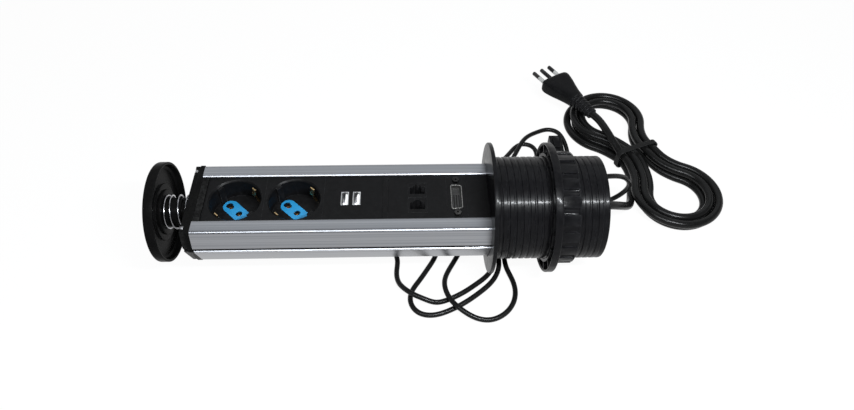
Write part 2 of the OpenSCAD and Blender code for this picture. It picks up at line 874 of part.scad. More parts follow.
// Mains lead.
module mains_gland() {
  shank = mains_d / 2 + 1.9;
  color("#1a1a1a")
    difference() {
      union() {
        along(foot_back, gland_nut)
          translate(gland_yz)
            circle(d = 15, $fn = 6);
        translate([0, gland_yz[0], gland_yz[1]])
          turned(profile_end + 1)
            polygon(concat(
              [[0, 0], [shank, 0], [shank, foot_t - 1 + gland_nut]],
              [for (i = [0:4], j = [0, 1])
                let (
                  step = (gland_l - gland_nut - 3) / 5,
                  r = mains_d / 2 + 2.3 - 0.3 * i - (j == 0 ? 0 : 0.5)
                )
                each [
                  [r, foot_t - 1 + gland_nut + step * (i + 0.55 * j) + (j == 0 ? 0 : 0.1)],
                  [r, foot_t - 1 + gland_nut + step * (i + 0.55 + 0.45 * j)]
                ]],
              [[mains_d / 2 + 0.9, foot_t - 1 + gland_l - 3], [mains_d / 2 + 0.7, foot_t - 1 + gland_l],
                [0, foot_t - 1 + gland_l]]
            ));
      }
      along(profile_end, foot_t + gland_l - 2)
        translate(gland_yz)
          circle(d = mains_d - 1, $fn = round_n);
    }
}

module mains_lead() {
  color("#121212")
    swept(mains_points, dirs_of(mains_points), mains_d / 2, 6);
}

module at_hank(u, v) {
  translate([hank_at[0] + x_shift, hank_at[1], 0])
    rotate([0, 0, hank_turn])
      translate([u, v, 0])
        children();
}

// Band round the waist of the hank, over both layers and the tail.
module tie_outline(g) {
  polygon([
    [-20 - g, 0.1 + tie_t - g], [16.4 + g, 0.1 + tie_t - g], [19.2 + g, 4 - g], [19.2 + g, 14 + g],
    [16 + g, 17.2 + g], [-8, 19 + g], [-20 - g, 19 + g], [-23 - g, 16 + g], [-23 - g, 4 - g]
  ]);
}

module hank_tie() {
  color("#242424")
    at_hank(tie_at - tie_w / 2, 0)
      rotate([90, 0, 90])
        linear_extrude(tie_w)
          difference() {
            tie_outline(tie_t);
            tie_outline(0);
          }
}

module at_plug() {
  end = tail_points[len(tail_points) - 1];
  translate([end[0] + x_shift, end[1], end[2]])
    rotate([0, 0, plug_turn])
      children();
}

// Outline of the plug body from above, waisted behind its nose.
module plug_outline() {
  w = plug_w / 2;
  polygon([
    [0, -8.2], [6, -8.8], [15, -11.5], [26, -w + 1.4], [31, -w], [34.6, -w + 0.6], [plug_l, -w + 2.4],
    [plug_l, w - 2.4], [34.6, w - 0.6], [31, w], [26, w - 1.4], [15, 11.5], [6, 8.8], [0, 8.2]
  ]);
}

module plug_body() {
  color("#161616")
    at_plug() {
      difference() {
        translate([plug_tail, 0, 0])
          intersection() {
            translate([0, 0, -plug_h / 2])
              linear_extrude(plug_h)
                plug_outline();
            rotate([90, 0, 0])
              translate([0, 0, -plug_w])
                linear_extrude(2 * plug_w)
                  polygon([
                    [0, -6.8], [12, -plug_h / 2 + 0.4], [18, -plug_h / 2], [33, -plug_h / 2 + 0.4],
                    [plug_l, -plug_h / 2 + 2.2], [plug_l, plug_h / 2 - 2.2], [33, plug_h / 2 - 0.4],
                    [18, plug_h / 2], [12, plug_h / 2 - 0.4], [0, 6.8]
                  ]);
          }
        translate([plug_tail + plug_l - 6, 0, 0])
          rotate([0, 90, 0])
            for (s = [-1, 0, 1])
              translate([0, s * plug_pitch, 0])
                cylinder(d = plug_pin_d, h = 10, $fn = 24);
      }
      rotate([0, 90, 0])
        rotate_extrude($fn = round_n)
          polygon(concat(
            [[0, 0]],
            [for (i = [0:5]) each [
              [5.2 + 0.36 * i, 3.6 * i], [5.2 + 0.36 * i, 3.6 * i + 2.2], [4.6 + 0.3 * i, 3.6 * i + 2.3],
              [4.6 + 0.3 * i, 3.6 * i + 3.5]
            ]],
            [[6.8, 21.6], [6.8, plug_tail + 1], [0, plug_tail + 1]]
          ));
    }
}

module plug_pins() {
  color("#6d6e70")
    at_plug()
      translate([plug_tail + plug_l - 6, 0, 0])
        rotate([0, 90, 0])
          for (s = [-1, 0, 1])
            translate([0, s * plug_pitch, 0])
              rotate_extrude($fn = 24) {
                bare = s == 0 ? plug_pin_d / 2 : plug_pin_d / 2 - 0.5;
                polygon([
                  [0, 0], [plug_pin_d / 2, 0], [plug_pin_d / 2, 6], [bare, 6], [bare, 15.6],
                  [plug_pin_d / 2, 15.6], [plug_pin_d / 2, plug_pin_l + 4.6], [plug_pin_d / 2 - 1.2, plug_pin_l + 6],
                  [0, plug_pin_l + 6]
                ]);
              }
}

module plug_sleeves() {
  color("#d9dadb")
    at_plug()
      translate([plug_tail + plug_l, 0, 0])
        rotate([0, 90, 0])
          for (s = [-1, 1])
            translate([0, s * plug_pitch, 0])
              difference() {
                cylinder(d = plug_pin_d, h = 9.6, $fn = 24);
                translate([0, 0, -1])
                  cylinder(d = plug_pin_d - 1, h = 12, $fn = 24);
              }
}

// Push cap.
module push_cap() {
  r = cap_d / 2;
  boss_r = (stem_d + stem_play) / 2;
  color("#161718")
    turned(cap_outer)
      polygon([
        [0, 0], [r - 1.6, 0], [r - 0.5, 0.5], [r, 1.6], [r, cap_h - 0.5], [r - 0.5, cap_h], [r - 1.8, cap_h],
        [r - 2.2, cap_h - 0.6], [r - 2.8, cap_top + 0.8], [r - 4.4, cap_top],
        [boss_r + 4.6, cap_top], [boss_r + 4.6, cap_top + boss_1], [boss_r, cap_top + boss_1],
        [boss_r, cap_top], [0, cap_top]
      ]);
}

module cap_stem() {
  color("#1a1b1c")
    turned(cap_inner)
      polygon([
        [post_d / 2 + 0.3, 0], [stem_d / 2, 0], [stem_d / 2, boss_2], [sleeve_d / 2, boss_2],
        [sleeve_d / 2, sleeve_end - cap_inner], [post_d / 2 + 0.3, sleeve_end - cap_inner]
      ]);
}

module cap_retainer() {
  head = post_end + 2.3;
  color("#7a7c80") {
    turned(cap_inner)
      square([3, head - cap_inner + 1]);
    turned(head)
      square([post_bore / 2 - 0.4, 2.5]);
  }
}

module cap_spring() {
  color("#b9bbbf")
    swept(spring_points, dirs_of(spring_points), spring_wire / 2, 6);
}

// Data cables: the lead from the foot to the floor, and the loops that lie there.
module data_lead_1() {
  color("#151515")
    swept(part_of(route_1, 0, lead_rings_1), part_of(dirs_of(route_1), 0, lead_rings_1), data_d / 2, 8);
}

module data_lead_2() {
  color("#151515")
    swept(part_of(route_2, 0, lead_rings_2), part_of(dirs_of(route_2), 0, lead_rings_2), data_d / 2, 8);
}

module data_cable_1() {
  n = len(route_1) - 1;
  color("#151515")
    swept(part_of(route_1, lead_rings_1, n), part_of(dirs_of(route_1), lead_rings_1, n), data_d / 2, 8);
}

module data_cable_2() {
  n = len(route_2) - 1;
  color("#151515")
    swept(part_of(route_2, lead_rings_2, n), part_of(dirs_of(route_2), lead_rings_2, n), data_d / 2, 8);
}

// Data plug with its boot and latch, at the end of a route.
module data_plug(route, turn) {
  end = route[len(route) - 1];
  color("#202124")
    translate([end[0] + x_shift, end[1], end[2]])
      rotate([0, 0, turn]) {
        rotate([0, 90, 0])
          cylinder(d1 = 6, d2 = 7.6, h = 7, $fn = round_n);
        translate([6.9, -5.8, -4])
          cube([21.5, 11.6, 8]);
        translate([10, -3, 3.9])
          rotate([90, 0, 0])
            translate([0, 0, -6])
              linear_extrude(6)
                polygon([[0, 2.4], [0, 3.2], [16, 1.4], [18.4, 0], [14, 0], [13, 0.9]]);
      }
}

module data_plug_1() {
  data_plug(route_1, 90);
}

module data_plug_2() {
  data_plug(route_2, -93);
}

threaded_tube();
pressure_ring();
lock_nut();
tower_profile();
end_cap();
end_cap_screws();
foot_plate();
foot_screws();
socket(socket_1_at);  // socket_1
socket(socket_2_at);  // socket_2
socket_insert(socket_1_at);  // socket_insert_1
socket_insert(socket_2_at);  // socket_insert_2
earth_clips(socket_1_at);  // earth_clips_1
earth_clips(socket_2_at);  // earth_clips_2
busbar(pin_pitch);  // line_busbar
busbar(-pin_pitch);  // neutral_busbar
busbar(0);  // earth_busbar
usb_panel();
usb_shells();
usb_tongues();
usb_board();
divider_strip();
data_panel();
data_jack(1);  // data_jack_1
data_jack(-1);  // data_jack_2
jack_contacts(1);  // jack_contacts_1
jack_contacts(-1);  // jack_contacts_2
video_panel();
video_shell();
video_insert();
video_screws();
blank_panel();
mains_gland();
mains_lead();
hank_tie();
plug_body();
plug_pins();
plug_sleeves();
push_cap();
cap_stem();
cap_retainer();
cap_spring();
data_lead_1();
data_lead_2();
data_cable_1();
data_cable_2();
data_plug_1();
data_plug_2();
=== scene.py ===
import json
import math

import bmesh
import bpy
import numpy as np
from mathutils import Matrix, Vector


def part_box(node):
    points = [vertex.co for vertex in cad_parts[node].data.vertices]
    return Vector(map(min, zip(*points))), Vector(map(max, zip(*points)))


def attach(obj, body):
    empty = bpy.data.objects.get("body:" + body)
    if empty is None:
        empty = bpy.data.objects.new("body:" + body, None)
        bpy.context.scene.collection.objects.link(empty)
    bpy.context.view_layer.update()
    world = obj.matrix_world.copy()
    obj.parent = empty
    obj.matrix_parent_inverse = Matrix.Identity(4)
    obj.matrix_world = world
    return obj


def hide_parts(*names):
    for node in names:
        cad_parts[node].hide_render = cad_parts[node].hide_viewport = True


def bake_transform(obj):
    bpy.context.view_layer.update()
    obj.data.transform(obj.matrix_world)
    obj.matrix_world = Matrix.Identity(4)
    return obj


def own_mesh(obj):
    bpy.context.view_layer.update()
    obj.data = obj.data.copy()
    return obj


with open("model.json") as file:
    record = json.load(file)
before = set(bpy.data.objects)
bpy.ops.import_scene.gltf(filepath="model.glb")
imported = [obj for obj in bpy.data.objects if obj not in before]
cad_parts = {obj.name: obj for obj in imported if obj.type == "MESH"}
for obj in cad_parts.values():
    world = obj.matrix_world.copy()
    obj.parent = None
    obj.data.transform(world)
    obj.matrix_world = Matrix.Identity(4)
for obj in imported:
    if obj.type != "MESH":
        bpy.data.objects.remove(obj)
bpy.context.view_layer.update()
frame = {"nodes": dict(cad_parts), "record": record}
nodes = frame["nodes"]
bodyOf = {node: body for body, members in frame["record"]["behaviour"]["bodies"].items() for node in members}
slotOf = {part["node"]: part["material_slot"] for part in frame["record"]["subparts"]}

mm = 0.001
perMetre = 1000.0  # over a size in mm it gives the scale of a noise
xShift = 83.25  # the flange's outer face lies here along X
axisZ = 51.0  # height of the tower's axis
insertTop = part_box("socket_insert_1")[1][2] / mm
print("frame loaded:", len(nodes), "nodes; inserts end at", round(insertTop, 2))


# Camera of the photograph

cameraSettings = {
    "place": (22.65, -344.3, 454.7),
    "right": (0.9996, -0.0262, 0.0117),
    "up": (0.0122, 0.7571, 0.6532),
    "focalPixels": 680.0,
    "imageWidth": 854.0,
    "sensor": 36.0,
    "clip": (0.01, 50.0),
}


def makeCamera(settings):
    # columns of the turn: right, up, and backwards as their cross product
    right = Vector(settings["right"]).normalized()
    up = (Vector(settings["up"]) - right * right.dot(Vector(settings["up"]))).normalized()
    back = right.cross(up)
    data = bpy.data.cameras.new("photoCamera")
    data.sensor_width = settings["sensor"]
    data.lens = settings["focalPixels"] / settings["imageWidth"] * settings["sensor"]
    data.clip_start, data.clip_end = settings["clip"]
    camera = bpy.data.objects.new("photoCamera", data)
    turn = Matrix((right, up, back)).transposed().to_4x4()
    camera.matrix_world = Matrix.Translation(Vector(settings["place"]) * mm) @ turn
    bpy.context.scene.collection.objects.link(camera)
    bpy.context.scene.camera = camera


makeCamera(cameraSettings)
print("camera set")


# Effects that several finishes share: each group reads Object coordinates and puts out masks and heights

effectSettings = {
    "noiseSpan": (0.3, 0.7),  # most of a noise lies between these
    "grainShadeBroader": 20.0,
    "lineShadeWider": 6.0,
    "rubSamples": 4,
    "rubTurn": (0.995, 0.86),  # cosines at which an edge starts to count and counts in full
    "rubPatches": (0.35, 0.7),
    "dustUpward": (0.35, 1.0),  # how far a face looks up where dust starts and is full
    "dustSpeckFiner": 9.0,
    "dustSpecks": (0.6, 0.75),
    "dustVeil": (0.4, 0.75, 0.25, 1.0),
    "dustSpeckShare": 0.7,
    "dustEvenShare": 0.5,
}


def newGroup(name, inputs, outputs):
    group = bpy.data.node_groups.new(name, "ShaderNodeTree")
    for socket, value in inputs:
        added = group.interface.new_socket(name=socket, in_out="INPUT", socket_type="NodeSocketFloat")
        added.default_value = value
    for socket in outputs:
        group.interface.new_socket(name=socket, in_out="OUTPUT", socket_type="NodeSocketFloat")
    return group, group.nodes.new("NodeGroupInput"), group.nodes.new("NodeGroupOutput")


def feed(tree, socket, value):
    # a number or colour is set on the socket, another node's output is linked to it
    if isinstance(value, tuple):
        socket.default_value = (*value, 1.0)
    elif isinstance(value, (int, float)):
        socket.default_value = value
    else:
        tree.links.new(value, socket)


def objectPoint(tree):
    return tree.nodes.new("ShaderNodeTexCoord").outputs["Object"]


def addSplit(tree, vector):
    node = tree.nodes.new("ShaderNodeSeparateXYZ")
    tree.links.new(vector, node.inputs[0])
    return node.outputs


def addMath(tree, operation, *values, clamp=False):
    # one arithmetic node; its values are sockets or plain numbers
    node = tree.nodes.new("ShaderNodeMath")
    node.operation = operation
    node.use_clamp = clamp
    for k, value in enumerate(values):
        feed(tree, node.inputs[k], value)
    return node.outputs[0]


def addVectorMath(tree, operation, first, second):
    node = tree.nodes.new("ShaderNodeVectorMath")
    node.operation = operation
    tree.links.new(first, node.inputs[0])
    tree.links.new(second, node.inputs[1])
    return node.outputs


def addRange(tree, value, low, high, toLow=0.0, toHigh=1.0):
    # value between low and high, carried over to toLow..toHigh
    node = tree.nodes.new("ShaderNodeMapRange")
    tree.links.new(value, node.inputs["Value"])
    for socket, number in (("From Min", low), ("From Max", high), ("To Min", toLow), ("To Max", toHigh)):
        node.inputs[socket].default_value = number
    return node.outputs["Result"]


def addNoise(tree, vector, scale, detail, rough=0.5):
    node = tree.nodes.new("ShaderNodeTexNoise")
    tree.links.new(vector, node.inputs["Vector"])
    feed(tree, node.inputs["Scale"], scale)
    node.inputs["Detail"].default_value = detail
    node.inputs["Roughness"].default_value = rough
    return node.outputs["Fac"]


def makeMouldGrain(settings):
    # fine noise of the grain's size as height, and broader noise as shade
    group, start, end = newGroup("mouldGrain", [("Size", 0.4)], ["Height", "Shade"])
    where = objectPoint(group)
    fine = addMath(group, "DIVIDE", perMetre, start.outputs["Size"])
    broad = addMath(group, "DIVIDE", perMetre / settings["grainShadeBroader"], start.outputs["Size"])
    group.links.new(addNoise(group, where, fine, 2.0), end.inputs["Height"])
    shade = addRange(group, addNoise(group, where, broad, 4.0, 0.6), *settings["noiseSpan"])
    group.links.new(shade, end.inputs["Shade"])
    return group


def makeDrawnLines(settings):
    # noise stretched along X: narrow lines as height, and wider ones as shade
    group, start, end = newGroup("drawnLines", [("Width", 0.2), ("Length", 60.0)], ["Height", "Shade"])
    where = objectPoint(group)
    along = addMath(group, "DIVIDE", perMetre, start.outputs["Length"])
    for socket, wider in (("Height", 1.0), ("Shade", settings["lineShadeWider"])):
        across = addMath(group, "DIVIDE", perMetre / wider, start.outputs["Width"])
        stretch = group.nodes.new("ShaderNodeCombineXYZ")
        for axis, scale in (("X", along), ("Y", across), ("Z", across)):
            group.links.new(scale, stretch.inputs[axis])
        scaled = addVectorMath(group, "MULTIPLY", where, stretch.outputs[0])[0]
        noise = addNoise(group, scaled, 1.0, 3.0, 0.6)
        group.links.new(addRange(group, noise, *settings["noiseSpan"]), end.inputs[socket])
    return group


def makeEdgeRub(settings):
    # where a rounded normal turns away from the face's own, broken up by noise
    group, start, end = newGroup("edgeRub", [("Radius", 0.0006), ("Patch", 300.0)], ["Mask"])
    rounded = group.nodes.new("ShaderNodeBevel")
    rounded.samples = settings["rubSamples"]
    group.links.new(start.outputs["Radius"], rounded.inputs["Radius"])
    plain = group.nodes.new("ShaderNodeNewGeometry").outputs["True Normal"]
    dot = addVectorMath(group, "DOT_PRODUCT", rounded.outputs["Normal"], plain)["Value"]
    turned = addRange(group, dot, *settings["rubTurn"])
    noise = addNoise(group, objectPoint(group), start.outputs["Patch"], 3.0, 0.6)
    broken = addRange(group, noise, *settings["rubPatches"])
    group.links.new(addMath(group, "MULTIPLY", turned, broken, clamp=True), end.inputs["Mask"])
    return group


def makeRestingDust(settings):
    # faces that look up, times a veil of broad noise and the specks of a fine one
    group, start, end = newGroup("restingDust", [("Amount", 0.2), ("Size", 3.0)], ["Mask"])
    normal = addSplit(group, group.nodes.new("ShaderNodeNewGeometry").outputs["Normal"])
    upward = addRange(group, normal["Z"], *settings["dustUpward"])
    where = objectPoint(group)
    broad = addMath(group, "DIVIDE", perMetre, start.outputs["Size"])
    fine = addMath(group, "MULTIPLY", broad, settings["dustSpeckFiner"])
    speck = addRange(group, addNoise(group, where, fine, 1.0), *settings["dustSpecks"])
    veil = addRange(group, addNoise(group, where, broad, 4.0, 0.6), *settings["dustVeil"])
    speck = addMath(group, "MULTIPLY_ADD", speck, settings["dustSpeckShare"], settings["dustEvenShare"])
    lying = addMath(group, "MULTIPLY", addMath(group, "MULTIPLY", veil, speck), upward)
    lying = addMath(group, "MULTIPLY", lying, start.outputs["Amount"], clamp=True)
    group.links.new(lying, end.inputs["Mask"])
    return group


mouldGrain, drawnLines = makeMouldGrain(effectSettings), makeDrawnLines(effectSettings)
edgeRub, restingDust = makeEdgeRub(effectSettings), makeRestingDust(effectSettings)
print("shared effects built")


# Finishes

plasticSettings = {
    "rubPatch": 420.0,
    "rubShare": 0.5,
    "dustSize": 2.6,
    "dustColour": (0.34, 0.33, 0.31),
    "dustDulls": 0.5,
    # painted shade: black below an insert's skin for its holes and shaded walls, and the height over which it fades
    # in
    "paintedShadeBlack": (0.004, 0.004, 0.005),
    "paintedShadeFade": 0.1,
    "coatRough": 0.13,
    "turnedWidth": 60.0,
    "turnedGrain": 0.25,
    "bumpDepth": 0.00004,
}

metalSettings = {
    "patchSize": 0.9,
    "patchFrom": 0.55,
    "patchShare": 0.12,
    "rubRadius": 0.0005,
    "rubPatch": 25.0,
    "rubShare": 0.4,
    "rubColour": (0.8, 0.8, 0.81),
    "dustSize": 3.5,
    "dustColour": (0.4, 0.39, 0.37),
    "dustDulls": 0.4,
    # painted shade in the extrusion's groove: its colour, and how far it fades inwards and at its two edges
    "grooveShadeColour": (0.012, 0.012, 0.013),
    "grooveShadeFade": (0.2, 0.1),  # inwards, and at its two edges
    "bumpDepth": 0.00003,
}

insertShadeSkin = 1.2  # the inserts are blue down to this depth, and painted shade makes them black below it
paintedShadeGroove = (36.4, axisZ - 2.4, axisZ + 0.9)  # where painted shade darkens the extrusion's groove: half width, low, high


def startMaterial(name):
    material = bpy.data.materials.new(name)
    material.use_nodes = True
    tree = material.node_tree
    return material, tree, tree.nodes["Principled BSDF"]


def addGroup(tree, group, **values):
    node = tree.nodes.new("ShaderNodeGroup")
    node.node_tree = group
    for socket, value in values.items():
        node.inputs[socket].default_value = value
    return node.outputs


def addMix(tree, mask, first, second):
    # first where the mask is 0, second where it is 1; colours are sockets or triples
    node = tree.nodes.new("ShaderNodeMix")
    node.data_type = "RGBA"
    tree.links.new(mask, node.inputs[0])
    feed(tree, node.inputs[6], first)
    feed(tree, node.inputs[7], second)
    return node.outputs[2]


def addWear(tree, base, settings, radius, rub, dust):
    # edges rubbed to another colour, then dust over all; the dust's mask comes along
    worn = addGroup(tree, edgeRub, Radius=radius, Patch=settings["rubPatch"])["Mask"]
    dusty = addGroup(tree, restingDust, Amount=dust, Size=settings["dustSize"])["Mask"]
    base = addMix(tree, addMath(tree, "MULTIPLY", worn, settings["rubShare"]), base, rub)
    return addMix(tree, dusty, base, settings["dustColour"]), dusty


def setGloss(tree, shader, shade, rough, dusty, dulls):
    # roughness follows the shade and rises where dust lies
    gloss = addRange(tree, shade, 0.0, 1.0, *rough)
    gloss = addMath(tree, "ADD", gloss, addMath(tree, "MULTIPLY", dusty, dulls), clamp=True)
    tree.links.new(gloss, shader.inputs["Roughness"])


def addBump(tree, shader, height, strength, distance):
    node = tree.nodes.new("ShaderNodeBump")
    node.inputs["Strength"].default_value = strength
    node.inputs["Distance"].default_value = distance
    tree.links.new(height, node.inputs["Height"])
    tree.links.new(node.outputs["Normal"], shader.inputs["Normal"])


def makePlastic(name, colour, other, rough, grain, bump, specular=0.5, rub=(0.1, 0.1, 0.105), dust=0.012,
                radius=0.0006, turned=0.0, paintedShadeBelow=0.0, coat=0.0, settings=plasticSettings):
    # moulded plastic: grain, two shades of its colour, edges rubbed paler, dust on what looks up;
    # turned gives fine lines round the X axis, below the given height the colour is painted shade (black) for holes
    # and walls in shadow, and coat lays a polished skin over the satin base
    material, tree, shader = startMaterial(name)
    mould = addGroup(tree, mouldGrain, Size=grain)
    base, dusty = addWear(tree, addMix(tree, mould["Shade"], colour, other), settings, radius, rub, dust)
    # painted shade: black below the given height stands for the shadow in the insert's holes and on its walls
    if paintedShadeBelow:
        height = addSplit(tree, objectPoint(tree))["Z"]
        abovePaintedShade = addRange(tree, height, paintedShadeBelow * mm, (paintedShadeBelow + settings["paintedShadeFade"]) * mm)
        base = addMix(tree, abovePaintedShade, settings["paintedShadeBlack"], base)
    tree.links.new(base, shader.inputs["Base Color"])
    setGloss(tree, shader, mould["Shade"], rough, dusty, settings["dustDulls"])
    shader.inputs["Specular IOR Level"].default_value = specular
    shader.inputs["Coat Weight"].default_value = coat
    shader.inputs["Coat Roughness"].default_value = settings["coatRough"]
    relief = mould["Height"]
    if turned:
        lines = addGroup(tree, drawnLines, Width=settings["turnedWidth"], Length=turned)["Height"]
        relief = addMath(tree, "ADD", lines, addMath(tree, "MULTIPLY", relief, settings["turnedGrain"]))
    addBump(tree, shader, relief, bump, settings["bumpDepth"])
    return material


def makeMetal(name, colour, other, rough, width, length, bump, tarnish=(0.3, 0.29, 0.27), dust=0.05,
              grooveShade=None, settings=metalSettings):
    # drawn or plated metal: lines along X in its shade, gloss and height, dull patches, bright edges;
    # a given span (half width, low, high) paints shade on the floor of a groove that runs along X on both sides
    material, tree, shader = startMaterial(name)
    lines = addGroup(tree, drawnLines, Width=width, Length=length)
    patch = addGroup(tree, mouldGrain, Size=settings["patchSize"])["Shade"]
    base = addMix(tree, lines["Shade"], colour, other)
    dull = addRange(tree, patch, settings["patchFrom"], 1.0, 0.0, settings["patchShare"])
    base = addMix(tree, dull, base, tarnish)
    base, dusty = addWear(tree, base, settings, settings["rubRadius"], settings["rubColour"], dust)
    # painted shade: the floor of the groove is darkened to stand for the shadow inside it
    if grooveShade:
        half, low, high = grooveShade
        inward, edge = settings["grooveShadeFade"]
        point = addSplit(tree, objectPoint(tree))
        deep = addRange(tree, addMath(tree, "ABSOLUTE", point["Y"]), half * mm, (half - inward) * mm)
        over = addRange(tree, point["Z"], low * mm, (low + edge) * mm)
        under = addRange(tree, point["Z"], high * mm, (high - edge) * mm)
        paintedShade = addMath(tree, "MULTIPLY", addMath(tree, "MULTIPLY", over, under), deep)
        base = addMix(tree, paintedShade, base, settings["grooveShadeColour"])
    tree.links.new(base, shader.inputs["Base Color"])
    setGloss(tree, shader, lines["Shade"], rough, dusty, settings["dustDulls"])
    shader.inputs["Metallic"].default_value = 1.0
    addBump(tree, shader, lines["Height"], bump, settings["bumpDepth"])
    return material


# one finish for each of the record's slots
finishes = {
    "tube_plastic": makePlastic(
        "blackTubePlastic", (0.0022, 0.0022, 0.0026), (0.0036, 0.0036, 0.0042), (0.27, 0.36), 0.35, 0.5,
        specular=0.045, rub=(0.03, 0.03, 0.033), turned=0.7, coat=0.08),
    "cap_plastic": makePlastic(
        "glossCapPlastic", (0.0028, 0.0028, 0.0028), (0.0042, 0.0042, 0.0042), (0.2, 0.3), 0.5, 0.05,
        specular=0.012, rub=(0.03, 0.03, 0.03)),
    "foot_plastic": makePlastic(
        "mattFootPlastic", (0.004, 0.004, 0.004), (0.006, 0.006, 0.006), (0.5, 0.62), 0.3, 0.2, specular=0.12),
    "socket_plastic": makePlastic(
        "satinPanelPlastic", (0.0028, 0.0028, 0.003), (0.0045, 0.0045, 0.0048), (0.28, 0.4), 0.3, 0.14,
        specular=0.06, rub=(0.06, 0.06, 0.063), radius=0.0004),
    "insert_blue": makePlastic(
        "blueInsertPlastic", (0.011, 0.168, 0.35), (0.014, 0.19, 0.39), (0.28, 0.36), 0.3, 0.1,
        specular=0.3, rub=(0.10, 0.40, 0.76), paintedShadeBelow=insertTop - insertShadeSkin),
    "port_white": makePlastic(
        "whitePortPlastic", (0.74, 0.74, 0.71), (0.80, 0.80, 0.78), (0.35, 0.45), 0.3, 0.1,
        rub=(0.7, 0.7, 0.68)),
    "board": makePlastic(
        "circuitBoard", (0.012, 0.11, 0.045), (0.02, 0.16, 0.07), (0.35, 0.5), 0.6, 0.2),
    "video_plastic": makePlastic(
        "portCorePlastic", (0.011, 0.0108, 0.0105), (0.018, 0.0177, 0.0172), (0.35, 0.5), 0.3, 0.15,
        specular=0.2),
    "cord_rubber": makePlastic(
        "cableSheath", (0.0024, 0.0024, 0.0024), (0.004, 0.004, 0.004), (0.22, 0.32), 0.8, 0.01, specular=0.14),
    "plug_plastic": makePlastic(
        "satinPlugPlastic", (0.0026, 0.0026, 0.003), (0.0042, 0.0042, 0.0046), (0.32, 0.44), 0.4, 0.22,
        specular=0.06),
    "profile_aluminium": makeMetal(
        "drawnAluminium", (0.201, 0.208, 0.226), (0.355, 0.364, 0.382), (0.26, 0.36), 0.32, 900.0, 0.01,
        grooveShade=paintedShadeGroove),
    "steel": makeMetal(
        "zincScrews", (0.30, 0.30, 0.31), (0.40, 0.40, 0.41), (0.3, 0.45), 0.3, 2.0, 0.2),
    "brass": makeMetal(
        "brassClips", (0.62, 0.43, 0.20), (0.74, 0.54, 0.28), (0.22, 0.36), 0.2, 2.0, 0.2,
        tarnish=(0.35, 0.22, 0.10)),
    "port_metal": makeMetal(
        "platedShells", (0.60, 0.60, 0.61), (0.72, 0.72, 0.73), (0.16, 0.28), 0.2, 3.0, 0.12),
    "pin_metal": makeMetal(
        "darkPins", (0.022, 0.022, 0.023), (0.04, 0.04, 0.042), (0.24, 0.36), 0.2, 3.0, 0.15),
    "spring_steel": makeMetal(
        "springWire", (0.38, 0.38, 0.40), (0.50, 0.50, 0.52), (0.2, 0.3), 0.2, 4.0, 0.1),
}

# finishes of single nodes that differ from the rest of their slot
nodeFinishes = {
    "video_shell": makeMetal(
        "mattShell", (0.24, 0.235, 0.225), (0.34, 0.333, 0.32), (0.22, 0.34), 0.2, 3.0, 0.15),
    "video_screws": makeMetal(
        "darkScrews", (0.013, 0.013, 0.0125), (0.027, 0.0265, 0.026), (0.3, 0.42), 0.2, 3.0, 0.15),
    "plug_sleeves": makePlastic(
        "greyPinSleeve", (0.30, 0.30, 0.29), (0.36, 0.36, 0.35), (0.35, 0.45), 0.3, 0.1, rub=(0.4, 0.4, 0.39)),
}
print("finishes made:", len(finishes) + len(nodeFinishes))


# Meshes from whole arrays

meshSettings = {
    "polesWithin": 1e-7,
    "solidWithin": 2e-6,
    "solidSharp": 30.0,
    "bevelAngle": 32.0,
    "bevelSegments": 2,
    "numbers": {"1": "One", "2": "Two"},
}


def mergeMesh(mesh, within, outwards):
    # points closer than within become one, and where asked all faces turn outwards
    shell = bmesh.new()
    shell.from_mesh(mesh)
    bmesh.ops.remove_doubles(shell, verts=shell.verts, dist=within)
    if outwards:
        bmesh.ops.recalc_face_normals(shell, faces=shell.faces)
    shell.to_mesh(mesh)
    shell.free()


def linkPiece(name, mesh, body, node, sharp):
    # smooth object at the origin in its node's finish; with a body named, it stands for the node there
    mesh.shade_smooth()
    mesh.set_sharp_from_angle(angle=math.radians(sharp))
    mesh.materials.clear()
    mesh.materials.append(nodeFinishes.get(node, finishes[slotOf[node]]))
    piece = bpy.data.objects.new(name, mesh)
    bpy.context.scene.collection.objects.link(piece)
    if body:
        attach(piece, body)
        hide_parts(node)
    return piece


def linkMesh(name, points, faces, body, node, sharp):
    # a piece of new points and faces, its poles merged
    mesh = bpy.data.meshes.new(name)
    mesh.from_pydata(np.asarray(points).reshape(-1, 3).tolist(), [], faces)
    mergeMesh(mesh, meshSettings["polesWithin"], True)
    return linkPiece(name, mesh, body, node, sharp)


def gridFaces(rows, columns, wrapRows=False, caps=False):
    # quads of a grid closed along its columns, from index arrays shifted by one row and one column
    i, j = np.meshgrid(np.arange(rows if wrapRows else rows - 1), np.arange(columns), indexing="ij")
    i, j = i.ravel(), j.ravel()
    ni, nj = (i + 1) % rows, (j + 1) % columns
    corners = [i * columns + j, i * columns + nj, ni * columns + nj, ni * columns + j]
    faces = np.stack(corners, axis=1).tolist()
    if caps:
        faces += [list(range(columns)), list(range((rows - 1) * columns, rows * columns))]
    return faces


def linkGrid(name, grid, body, node, sharp, **closing):
    # a grid of points (row, column, xyz) as one piece
    return linkMesh(name, grid, gridFaces(*grid.shape[:2], **closing), body, node, sharp)


def joinGrids(grids):
    # several capped tubes as one list of points and faces
    points, faces, start = [], [], 0
    for grid in grids:
        rows, columns = grid.shape[:2]
        faces += [[k + start for k in face] for face in gridFaces(rows, columns, caps=True)]
        points.append(grid.reshape(-1, 3))
        start += rows * columns
    return np.concatenate(points), faces


def runningLength(path):
    # distance walked along a path at each of its points
    return np.concatenate([[0.0], np.cumsum(np.linalg.norm(np.diff(path, axis=0), axis=1))])


